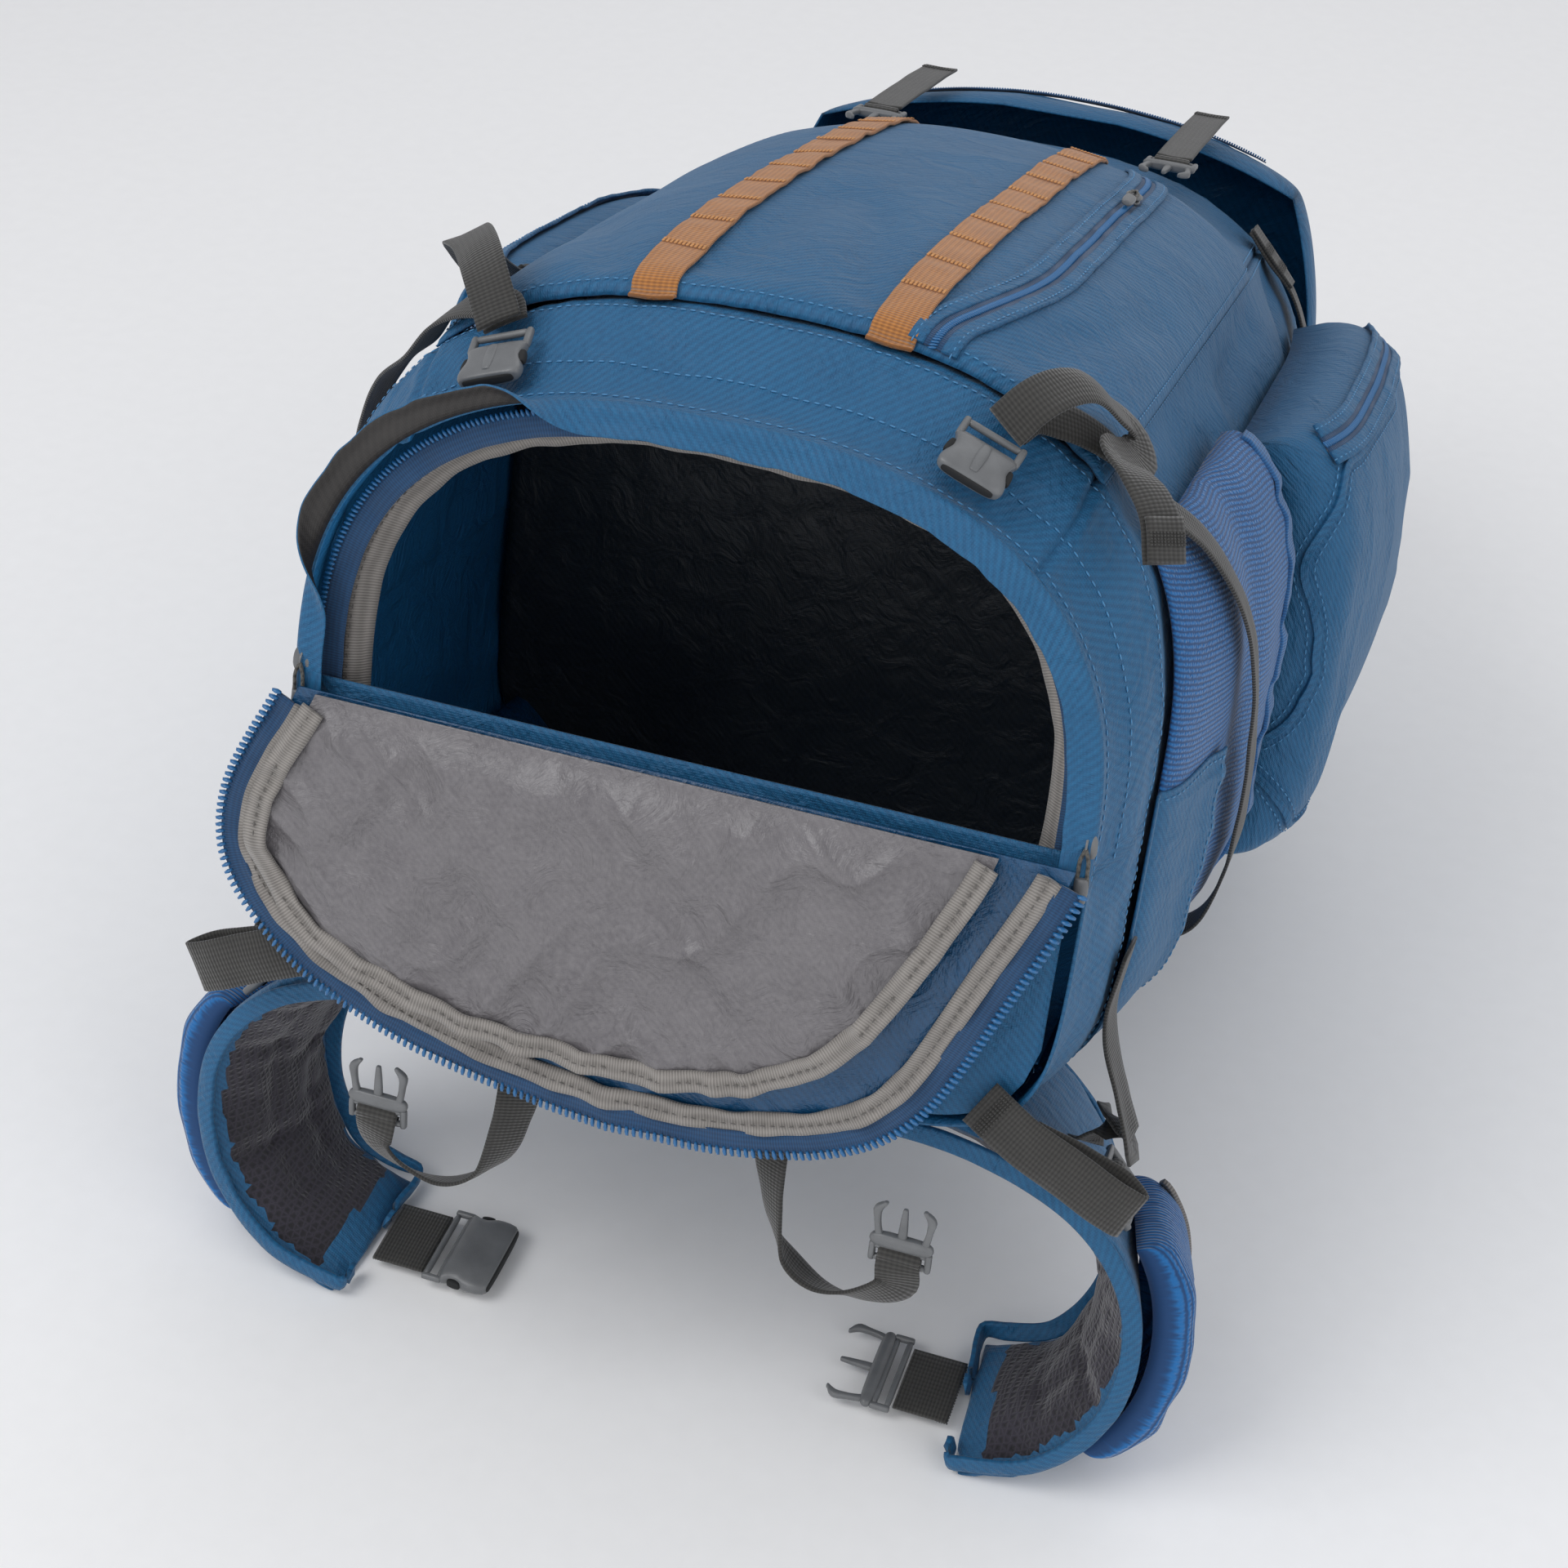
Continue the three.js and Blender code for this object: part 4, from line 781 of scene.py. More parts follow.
door_binding, rim_route, rim_face = rim_ribbon("door_binding", x, y, drop, 8, 11, 1.8, grey_binding, 2.2, 51)
rim_tape, tape_route, tape_face = rim_ribbon("door_zip_tape", x, y, drop, -1.5, 10, 0.9, navy_tape, 0.8, 52)
lining_binding, lining_route, lining_face = rim_ribbon("door_lining_binding", lining_x, lining_y, lining_drop,
                                                       3, 11, 1.8, grey_binding, 1.8, 53)
outward = unit(np.cross(np.gradient(tape_route, axis=0), (0, -1, 0)))
outward *= np.sign(np.sum(outward * (tape_route - (0, -11, DOOR_SILL)), -1, keepdims=True))
rim_coil = bead_rows("door_zip_coil", [(tape_route + outward * 5.6 + (0, -0.9, 0), tape_face)], 3.2,
                     (2.0, 5.4, 3.0), coil_nylon, "door", "buckle_nylon", turn=0.2)
rim_stitches = bead_rows("door_binding_stitches", [
    (lining_route + (0, -1.5, 0), lining_face), (rim_route + (0, -1.8, 0), rim_face)], 4.4, (2.9, 0.9, 0.8),
    grey_thread, "door", "webbing")
held(door_outer, "door", "pack_cloth", "door_flap")
held(door_lining, "door", "lining")


# ---- Front pocket and its curved zip ----
# One flat pocket covers the front. It closes with a curved coil zip, set between two cloth welts, that runs up
# beside the wearer's right daisy chain.
POCKET_FROM, POCKET_LENGTH, POCKET_EDGE = 55, 400, 0.372
POCKET_FOLDS = [((60, 0.47), (210, 0.50), 13, -4.0), ((60, 0.53), (230, 0.515), 15, -3.6),
                ((60, 0.56), (200, 0.60), 12, -3.2), ((70, 0.42), (230, 0.39), 12, -3)]


def front_face(y, around):
    """The front pocket's outer face."""
    y, around = floats(y, around)
    u, v = (y - POCKET_FROM) / POCKET_LENGTH, (around - POCKET_EDGE) / (1 - 2 * POCKET_EDGE)
    s = around * GIRTH
    inside = smooth(np.minimum(u, 1 - u) * 14) * smooth(np.minimum(v, 1 - v) * 9)
    folds = 1.8 * noise(s / 70, y / 90, 61) + 1.7 * (crease((s + 0.8 * y) / 60, (y - 0.5 * s) / 110, 62) - 0.7)
    folds += sum(pull(y, around, *fold) for fold in POCKET_FOLDS)
    gather = 0.7 * noise(s / 7, y / 60, 63) * near_line(np.minimum(u, 1 - u) * POCKET_LENGTH - 6, 9)
    return skin(y, around, 2.0 + 19 * swell(u, 2.6) * swell(v, 2.6) + folds * inside + gather)


y, around = np.meshgrid(np.linspace(POCKET_FROM, POCKET_FROM + POCKET_LENGTH, 210),
                        np.linspace(POCKET_EDGE, 1 - POCKET_EDGE, 150), indexing="ij")
front_pouch = lay_grid("front_pocket_cloth", front_face(y, around), around * GIRTH, y, [pack_cloth, coated_back])
thicken(front_pouch, 1.2, inside=1)
held(front_pouch, "pack", "pack_cloth", "front_pocket")

ZIP_PATH = [(56, 0.4445), (70, 0.4435), (95, 0.4385), (130, 0.4325), (170, 0.4285), (230, 0.4278), (300, 0.428),
            (370, 0.428), (420, 0.4295), (447, 0.434)]


def run_beside(surface, path, aside, raise_by, step=3.0):
    """A route on a surface through (y, around) places, moved aside along it and raised off it."""
    fine = spline(np.asarray(path, float) * (1, GIRTH), step) / (1, GIRTH)
    face = normals_of(surface, fine[:, 0], fine[:, 1])
    route = surface(fine[:, 0], fine[:, 1])
    side = unit(np.cross(np.gradient(route, axis=0), face))
    return route + side * aside + face * raise_by, face


def zip_on(name, surface, path, body="pack"):
    """A closed coil zip in a surface: its tape, the coil, two cloth welts and their stitching."""
    route, face = run_beside(surface, path, 0, 0.5)
    held(ribbon(name + "_tape", route, face, 15, 0.8, [navy_tape], wave=0.2), body, "webbing")
    bead_rows(name + "_coil", [run_beside(surface, path, 0, 1.1)], 1.5, (1.2, 4.4, 1.5), coil_nylon, body,
              "buckle_nylon", turn=0.35)
    for label, aside in (("near", -7.5), ("far", 7.5)):
        route, face = run_beside(surface, path, aside, 1.0)
        welt = ribbon(f"{name}_welt_{label}", route, face, 7, 1.6, [pack_cloth], wave=0.5, seed=int(aside))
        held(welt, body, "pack_cloth")
    stitched(name + "_stitches", [run_beside(surface, path, aside, 1.9) for aside in (-8.6, 8.6)], body)


zip_on("front_zip", front_face, ZIP_PATH)
edge_rows = [stitch_line(front_face, [(POCKET_FROM + 4, POCKET_EDGE + 0.008), (POCKET_FROM + 4, 0.5),
                                      (POCKET_FROM + 4, 1 - POCKET_EDGE - 0.008)], step=4)]
for at in (POCKET_EDGE + 0.005, 1 - POCKET_EDGE - 0.005):
    edge_rows.append(stitch_line(front_face, [(POCKET_FROM + 6, at), (POCKET_FROM + POCKET_LENGTH - 6, at)]))
stitched("front_pocket_stitches", edge_rows, height=0.6)


# ---- Daisy chains ----
# Two bands of orange 20 mm webbing, sewn down with a bar of tight stitches every 38 mm so that the webbing
# stands up in loops between them.
orange_web = grosgrain("orange polypropylene webbing", "#BF7D38", "#8A5522", 1.5, 2.6, 0.35, 0.7)
orange_thread = thread_material("orange bonded thread", "#DDA466", "#A96F36")
DAISY_AROUND, TACK_PITCH, WEB = 0.458, 38, 20
FIRST_TACK, TACKS = 55, 10  # height of the first loop's foot, and the bars above it


def tack(route, face, at, width, reach=2.4):
    """The zigzag rows of a bar tack across a strap, at a place along its route."""
    along = unit(np.gradient(route, axis=0))[at]
    across = unit(np.cross(along, face[at]))
    rows = []
    for off in np.linspace(-reach, reach, 5):
        line = route[at] + along * off + across * np.linspace(-width / 2 + 1, width / 2 - 1, 8)[:, None]
        rows.append((line + face[at] * 1.5, np.repeat(face[at][None], 8, 0)))
    return rows


for side, sign in SIDES.items():
    y = np.linspace(51, 447, 200)
    around = np.full(y.shape, 0.5 - sign * (0.5 - DAISY_AROUND))
    face = normals_of(front_face, y, around)
    arch = np.abs(np.sin((y - FIRST_TACK) / TACK_PITCH * math.pi)) ** 0.7 * 0.7
    route = front_face(y, around) + face * (1.2 + arch)[:, None]
    daisy = ribbon(f"daisy_chain_web_{side}", route, face, WEB, 1.6, [orange_web], wave=0.5, seed=5)
    held(daisy, "pack", "orange_webbing", f"daisy_chain_{side}")
    bars = []
    for number in range(1, TACKS + 1):
        at = int(np.argmin(np.abs(y - FIRST_TACK - number * TACK_PITCH)))
        bars += tack(route, face, at, WEB, 1.8)
    bead_rows(f"daisy_chain_tacks_{side}", bars, 1.7, (1.5, 0.8, 0.7), orange_thread, "pack", "orange_webbing")


# ---- Side pockets ----
# Bellows pockets of pack cloth: a deep gusset all round and a flat outer face, joined by a piped seam. A pair
# of coil zips runs along the gusset's front edge.
SIDE_POCKET_FROM, SIDE_POCKET_LENGTH, SIDE_POCKET_RISE = 262, 290, 62
SIDE_POCKET_EDGES = (0.165, 0.335)


def side_face(y, around):
    """A side pocket's outer face, the same on both sides of the bag."""
    y, around = floats(y, around)
    right_around = np.where(around > 0.5, 1 - around, around)
    u = np.clip((y - SIDE_POCKET_FROM) / SIDE_POCKET_LENGTH, 0, 1)
    v = np.clip((right_around - SIDE_POCKET_EDGES[0]) / (SIDE_POCKET_EDGES[1] - SIDE_POCKET_EDGES[0]), 0, 1)
    s = right_around * GIRTH
    hollow = 1 - 0.16 * (1 - (2 * u - 1) ** 2) ** 2 * (1 - smooth((v - 0.1) / 0.5))
    crown = 1 + 0.03 * np.sin(math.pi * u) * np.sin(math.pi * v)
    inside = smooth(np.minimum(u, 1 - u) * 8) * smooth(np.minimum(v, 1 - v) * 5)
    folds = 2.4 * noise(s / 60, y / 80, 71) + 2.6 * (crease((s + 0.6 * y) / 50, (y - 0.6 * s) / 100, 72) - 0.75)
    folds += 2.0 * (crease(y / 26, s / 90, 73) - 0.7) * smooth((0.35 - u) / 0.3)
    folds -= 4.0 * near_line(u - 0.5 - 0.1 * v, 0.08) * smooth((v - 0.5) * 4)
    gather = 1.1 * noise(y / 8, s / 40, 74) * near_line(v - 0.03, 0.05) + 1.0 * noise(s / 8, y / 40, 75) \
        * near_line(u - 0.03, 0.04)
    lift = 2.4 + SIDE_POCKET_RISE * swell(u, 4.6) * swell(v, 4.2) * hollow * crown
    return skin(y, around, lift + folds * inside + gather)


def eased(count, power):
    """Shares from 0 to 1 that lie closer together near both ends; the lower the power, the closer."""
    t = np.linspace(0, 1, count)
    return 0.5 - 0.5 * np.sign(1 - 2 * t) * np.abs(1 - 2 * t) ** power


def grid_by_length(name, points, materials):
    """A sheet whose UV map follows the lengths of its own rows and columns, so that no thread stretches."""
    along = np.cumsum(np.linalg.norm(np.diff(points, axis=0, prepend=points[:1]), axis=-1), axis=0)
    across = np.cumsum(np.linalg.norm(np.diff(points, axis=1, prepend=points[:, :1]), axis=-1), axis=1)
    return lay_grid(name, points, across, along, materials)


def pocket_grid(name, surface, y_from, length, edges, rows, columns, sign, materials):
    """A pocket's cloth, with more rows near its edges, where it stands up steeply."""
    low, high = sorted(edges if sign > 0 else (1 - edges[0], 1 - edges[1]))
    y, around = np.meshgrid(y_from + length * eased(rows, 0.55), mix(low, high, eased(columns, 0.55)),
                            indexing="ij")
    return grid_by_length(name, surface(y, around), materials)


def on_side(path, sign):
    """A path drawn on the wearer's right, or its mirror on the left."""
    return [(y, a if sign > 0 else 1 - a) for y, a in path]


SIDE_ZIP = [(276, 0.327), (300, 0.3262), (360, 0.326), (420, 0.326), (480, 0.326), (520, 0.3255), (540, 0.3225)]
FACE_SEAM = [(546, 0.19), (547, 0.25), (546, 0.308), (538, 0.318), (520, 0.3195), (400, 0.3195), (300, 0.3195),
             (278, 0.318), (268.5, 0.308), (267.5, 0.25), (268.5, 0.19), (278, 0.182), (300, 0.1805),
             (400, 0.1805), (520, 0.1805), (538, 0.182), (546, 0.19)]
for side, sign in SIDES.items():
    pouch = pocket_grid(f"side_pocket_cloth_{side}", side_face, SIDE_POCKET_FROM, SIDE_POCKET_LENGTH,
                        SIDE_POCKET_EDGES, 165, 130, sign, [pack_cloth, coated_back])
    thicken(pouch, 1.2, inside=1)
    held(pouch, "pack", "pack_cloth", f"side_pocket_{side}")
    zip_on(f"side_zip_{side}", side_face, on_side(SIDE_ZIP, sign))
    seam = on_side(FACE_SEAM, sign)
    route, face = run_beside(side_face, seam, 0, 0.4)
    piping = ribbon(f"side_pocket_piping_{side}", route, face, 4.0, 2.6, [pack_cloth], wave=0.5, seed=8)
    held(piping, "pack", "pack_cloth")
    stitched(f"side_pocket_stitches_{side}", [run_beside(side_face, seam, aside, 0.5) for aside in (5, -5)])


# ---- Stretch mesh bottle pockets ----
# Bright blue knitted mesh, gathered on an elastic hem, with a band of pack cloth over its lower back corner
# where it rubs. The knit shows as upright ribs of small open cells, 2.6 mm apart.
BOTTLE_FROM, BOTTLE_LENGTH, BOTTLE_RISE = 66, 180, 25
BOTTLE_EDGES = (0.15, 0.345)

stretch_mesh, mesh_tree, mesh_shader = new_material("bright blue stretch mesh knit", roughness=0.75,
                                                    sheen_weight=0.3, sheen_roughness=0.4)
place = add_node(mesh_tree, "ShaderNodeTexCoord").outputs["UV"]
ribs = add_node(mesh_tree, "ShaderNodeTexWave", {"Vector": place, "Scale": 0.314 / 2.6, "Distortion": 1.1,
                                                 "Detail": 1.0, "Detail Scale": 3.0}, bands_direction="X")
cells = add_node(mesh_tree, "ShaderNodeTexVoronoi", {"Vector": place, "Scale": 0.52, "Randomness": 0.55})
knit = add_node(mesh_tree, "ShaderNodeMath", {0: ribs.outputs["Fac"], 1: cells.outputs["Distance"]},
                operation="MULTIPLY")
# Cells darker than the ribs: painted shade, as seen through the knit's holes.
ramped(mesh_tree, mesh_shader, knit.outputs[0], 0.02, "#073E70", 0.4, "#0F68AA")
bumped(mesh_tree, mesh_shader, knit.outputs[0], 0.9)


def bottle_face(y, around):
    """A bottle pocket's outer face, gathered towards its hem."""
    y, around = floats(y, around)
    right_around = np.where(around > 0.5, 1 - around, around)
    u = np.clip((y - BOTTLE_FROM) / BOTTLE_LENGTH, 0, 1)
    v = np.clip((right_around - BOTTLE_EDGES[0]) / (BOTTLE_EDGES[1] - BOTTLE_EDGES[0]), 0, 1)
    s = right_around * GIRTH
    inside = smooth(u * 8) * smooth(np.minimum(v, 1 - v) * 7)
    folds = 2.0 * (crease(s / 24 + y / 120, y / 130, 81) - 0.8) + 1.2 * noise(s / 40, y / 60, 82)
    gather = 1.4 * noise(s / 9, y / 50, 83) * smooth((u - 0.75) * 4)
    dip = 1 - 0.2 * near_line(u - 0.55, 0.12)
    lift = 2.6 + BOTTLE_RISE * np.sin(u * math.pi / 2) ** 0.6 * swell(v, 2.6) * dip
    return skin(y, around, lift + (folds + gather) * inside)


def rub_face(y, around):
    """The rub band's outer face, over the bottle pocket's mesh."""
    return bottle_face(y, around) + normals_of(bottle_face, y, around) * (
        1.2 + 2.6 * smooth((np.asarray(y, float) - 112) / 18))[..., None]


for side, sign in SIDES.items():
    knit_pouch = pocket_grid(f"bottle_pocket_mesh_{side}", bottle_face, BOTTLE_FROM, BOTTLE_LENGTH, BOTTLE_EDGES,
                             130, 150, sign, [stretch_mesh])
    thicken(knit_pouch, 1.2)
    held(knit_pouch, "pack", "stretch_mesh", f"bottle_pocket_{side}")
    hem_path = on_side([(BOTTLE_FROM + BOTTLE_LENGTH - 4, a) for a in np.linspace(0.153, 0.342, 14)], sign)
    route, face = run_beside(bottle_face, hem_path, 0, 0.7)
    hem = ribbon(f"bottle_pocket_hem_{side}", route, face, 10, 2.0, [grosgrain(
        f"blue elastic hem {side}", "#2E6FA8", "#1C4E80", 1.4, 3.0, 0.4, 0.7)], wave=1.0, wave_length=8, seed=9)
    held(hem, "pack", "webbing")
    rub = pocket_grid(f"bottle_pocket_rub_band_{side}", rub_face, 60, 72, (0.142, 0.262), 50, 90, sign,
                      [pack_cloth, coated_back])
    thicken(rub, 1.2, inside=1)
    held(rub, "pack", "pack_cloth")
    stitched(f"rub_band_stitches_{side}", [stitch_line(rub_face, on_side(path, sign), 0.3) for path in (
        [(127, 0.145), (127, 0.2), (127, 0.259)], [(64, 0.259), (95, 0.2595), (128, 0.2595)])])


# ---- Compression straps and their buckles ----
# Charcoal 20 and 25 mm polypropylene webbing, sewn in at the side seams and led over the pockets to side
# release buckles on the band. Spare webbing is left in loops. The buckles are moulded in grey acetal.
WIDE_WEB, WEB_THICKNESS, LAID = 25, 1.6, 2.1

charcoal_web = grosgrain("charcoal polypropylene webbing", "#3B3A37", "#1E1D1B", 1.7, 2.5, 0.4, 0.72)

grey_acetal, acetal_tree, acetal_shader = new_material("moulded grey acetal", roughness=0.38, coat_weight=0.1)
place = add_node(acetal_tree, "ShaderNodeTexCoord").outputs["Object"]
flow = add_node(acetal_tree, "ShaderNodeTexNoise", {"Vector": place, "Scale": 90.0, "Detail": 5.0})
skin_grain = add_node(acetal_tree, "ShaderNodeTexNoise", {"Vector": place, "Scale": 1400.0, "Detail": 2.0})
tinted(acetal_tree, acetal_shader, flow.outputs["Fac"], "#56585A", "#76787A")
bumped(acetal_tree, acetal_shader, skin_grain.outputs["Fac"], 0.08)
# Near black for the shade inside moulded openings (a buckle's mouth and windows, a slider's gap, a cord lock's
# slits): painted shade.
painted_shade_acetal = new_material("painted shade in moulded openings", base_color=linear("#1B1C1D"), roughness=0.8)[0]


def strap(name, route, face, width, body, *nodes, thickness=WEB_THICKNESS, wave=0.5, seed=1):
    """A length of charcoal webbing on one body."""
    made = ribbon(name, route, face, width, thickness, [charcoal_web], wave=wave, wave_length=22, seed=seed)
    held(made, body, "webbing", *nodes)


def tacked(name, rows, body, pitch=1.7, length=1.5):
    """Bar tacks in charcoal thread."""
    bead_rows(name, rows, pitch, (length, 0.8, 0.7), dark_thread, body, "webbing")


def flip(points, sign):
    """Places or directions on the wearer's right, or their mirror."""
    return np.asarray(points, float) * (sign, 1, 1)


def spread(faces, count):
    """Directions given at a few places, eased evenly over a route of many."""
    fine = spline(faces, 0.01)
    share, at = np.linspace(0, 1, len(fine)), np.linspace(0, 1, count)
    return np.stack([np.interp(at, share, fine[:, k]) for k in range(3)], -1)


def out_at(y, around):
    """The way out of the body's side at one place."""
    return normals_of(bare, np.array(float(y)), np.array(float(around)))


def body_route(places, sign):
    """A route over the body through (y, around, lift) places on the wearer's right, or its mirror."""
    p = np.asarray(places, float)
    route = spline(skin(p[:, 0], p[:, 1], p[:, 2]), 3)
    face = spread(normals_of(bare, p[:, 0], p[:, 1]), len(route))
    return flip(route, sign), unit(flip(face, sign))


def loft(points, stations, power=3.0, count=20):
    """A moulded bar: rings of half width a and half height b, at (x, y, z) along local y."""
    rings = []
    turns = np.linspace(0, 2 * math.pi, count, endpoint=False)
    c, s = np.cos(turns), np.sin(turns)
    ends = [(0, 0.55), (0.25, 0.85), (0.8, 1.0)]
    stations = [tuple(map(float, station)) for station in stations]
    first, last = stations[0], stations[-1]
    rounded = [(first[0], first[1] + e, first[2], first[3] * k, first[4] * k) for e, k in ends] + stations[1:-1]
    rounded += [(last[0], last[1] - e, last[2], last[3] * k, last[4] * k) for e, k in ends[::-1]]
    for x, y, z, a, b in rounded:
        rings.append(np.stack([x + a * np.sign(c) * np.abs(c) ** (2 / power), np.full(count, y),
                               z + b * np.sign(s) * np.abs(s) ** (2 / power)], -1))
    points.append(np.array(rings))


def frame_bars(points, half, low, high, bar=1.7, crossbars=()):
    """A rectangular loop of round bar, with bars across it."""
    for x in (-half, half):
        loft(points, [(x, low - bar, 0, bar, bar * 1.1), (x, (low + high) / 2, 0, bar, bar * 1.1),
                      (x, high + bar, 0, bar, bar * 1.1)], 2.6, 10)
    for y in (low, high, *crossbars):
        turns = np.linspace(0, 2 * math.pi, 10, endpoint=False)
        xs = np.linspace(-half, half, 7)
        points.append(np.stack([np.stack([np.full(10, x), y + bar * np.sin(turns), bar * np.cos(turns)], -1)
                                for x in xs]))


def moulding(name, parts, origin, along, face, body, *nodes, dark=()):
    """Closed lofts made flat (length along y, face towards z), stood at a place as one moulded piece; the dark
    lofts get painted shade.
    """
    y_axis = unit(np.asarray(along, float))
    x_axis = unit(np.cross(y_axis, face))
    z_axis = np.cross(x_axis, y_axis)
    made_from = bmesh.new()
    for rings, index in [(r, 0) for r in parts] + [(r, 1) for r in dark]:
        at = placed(np.asarray(origin) + rings @ np.stack([x_axis, y_axis, z_axis]))
        rows = [[made_from.verts.new(p) for p in ring] for ring in at]
        count = len(rows[0])
        for low, high in zip(rows, rows[1:]):
            for j in range(count):
                k = (j + 1) % count
                made_from.faces.new((low[j], low[k], high[k], high[j])).material_index = index
        for cap in (rows[0][::-1], rows[-1]):
            made_from.faces.new(cap).material_index = index
    bmesh.ops.recalc_face_normals(made_from, faces=made_from.faces)
    mesh = bpy.data.meshes.new(name)
    made_from.to_mesh(mesh)
    made_from.free()
    mesh.materials.append(grey_acetal)
    mesh.materials.append(painted_shade_acetal)
    mesh.shade_smooth()
    piece = in_scene(name, mesh)
    rounded(piece)
    held(piece, body, "buckle_nylon", *nodes)


def socket_parts(web, k=1.0):
    """The socket half of a side release buckle: a body whose mouth and two windows are dark lofts of painted
    shade, on a webbing loop.
    """
    half, parts, dark = web / 2 + 5, [], []
    frame_bars(parts, half - 2.2, 2, 9)
    loft(parts, [(0, 8.5, 0, half - 2, 2.6), (0, 10.5, 0, half - 0.6, 3.6 * k), (0, 13, 0, half - 2.4, 4.1 * k),
                 (0, 18, 0, half - 3, 4.2 * k), (0, 21, 0, half - 1, 4.1 * k), (0, 25, 0, half, 4.0 * k),
                 (0, 29 * k, 0, half - 1, 3.7 * k)], 3.4, 28)
    loft(parts, [(0, 11, 3.6 * k, 2.2, 1.0), (0, 18, 4.1 * k, 2.8, 1.3), (0, 26, 3.8 * k, 2.0, 1.0)], 2.4, 12)
    # The mouth and the side windows: dark lofts, painted shade where the socket is open.
    loft(dark, [(0, 22, 0, half - 3.5, 2.2 * k), (0, 29.2 * k, 0, half - 3.2, 2.3 * k),
                (0, 29.6 * k, 0, half - 3.2, 2.3 * k)], 4, 20)
    for x in (-1, 1):
        loft(dark, [(x * (half - 2.2), 14, 0, 1.6, 1.8 * k), (x * (half - 2.0), 17.5, 0, 2.0, 2.1 * k),
                    (x * (half - 1.6), 21, 0, 1.6, 1.8 * k)], 3, 12)
    return parts, dark


def prong_parts(web, k=1.0):
    """The pronged half: a webbing loop with two bars, two sprung side prongs and a middle guide."""
    half, parts = web / 2 + 5, []
    frame_bars(parts, half - 2.2, 2, 8.5)
    loft(parts, [(0, 9, 0, half - 1, 2.2), (0, 12, 0, half, 2.8 * k), (0, 14, 0, half - 0.5, 2.8 * k),
                 (0, 16, 0, half - 2, 2.2)], 3.4, 24)
    for x in (-1, 1):
        loft(parts, [(x * (half - 4.5), 14, 0, 2.0, 1.7), (x * (half - 3.4), 19, 0, 1.5, 1.7),
                     (x * (half - 3.0), 24, 0, 1.6, 1.8), (x * (half - 2.2), 28, 0, 2.3, 1.9),
                     (x * (half - 4.2), 31, 0, 2.2, 1.8), (x * (half - 6), 33, 0, 1.2, 1.4)], 2.8, 12)
    loft(parts, [(0, 14, 0, 2.4, 1.6), (0, 24, 0, 1.9, 1.5), (0, 31.5, 0, 1.3, 1.3)], 2.8, 12)
    return parts


def ladder_parts(web):
    """A ladder lock: a frame with two inner bars that the webbing is threaded round, and a lifting lip."""
    parts = []
    frame_bars(parts, web / 2 + 3.2, 2.4, 25.5, 2.0, (10.2, 18.5))
    loft(parts, [(0, 24.5, 0.8, web / 2 + 3, 1.6), (0, 26.5, 1.6, web / 2 + 3.4, 1.6),
                 (0, 29, 2.4, web / 2 + 2, 1.2)], 3.4, 20)
    return parts


def threaded(name, origin, along, face, web, body, bars=(10.2, 18.5)):
    """The short turns of webbing round a lock's bars."""
    y_axis = unit(np.asarray(along, float))
    z_axis = unit(np.asarray(face, float) - np.dot(face, y_axis) * y_axis)
    turns = np.linspace(-0.35, 1.35, 14) * math.pi
    c, s = np.cos(turns)[:, None], np.sin(turns)[:, None]
    for number, bar in enumerate(bars):
        ring = np.asarray(origin) + (bar + 3.4 * c) * y_axis + 2.9 * s * z_axis
        strap(f"{name}_{number + 1}", ring, c * y_axis + s * z_axis, web - 1, body, wave=0.0)


LOWER_STRAP = [(37.5, 0.411, 6), (46, 0.407, 7.5), (54, 0.395, 9), (66, 0.378, 10.5)]
for y, a in ((84, 0.355), (102, 0.335), (122, 0.31), (144, 0.28), (162, 0.25), (176, 0.22), (186, 0.19),
             (192, 0.165)):
    u, v = (y - BOTTLE_FROM) / BOTTLE_LENGTH, (a - BOTTLE_EDGES[0]) / (BOTTLE_EDGES[1] - BOTTLE_EDGES[0])
    LOWER_STRAP.append((y, a, 8.4 + BOTTLE_RISE * math.sin(u * math.pi / 2) ** 0.6 * float(swell(v, 2.6))))
LOWER_STRAP.append((196, 0.145, LAID + 5))
UPPER_STRAP = [(578, 0.385, 6), (577, 0.35, 6), (576, 0.31, 6), (575, 0.27, 6), (574, 0.22, 6), (573, 0.18, 6),
               (572, 0.15, 6)]
BUCKLE_AROUND = 0.413
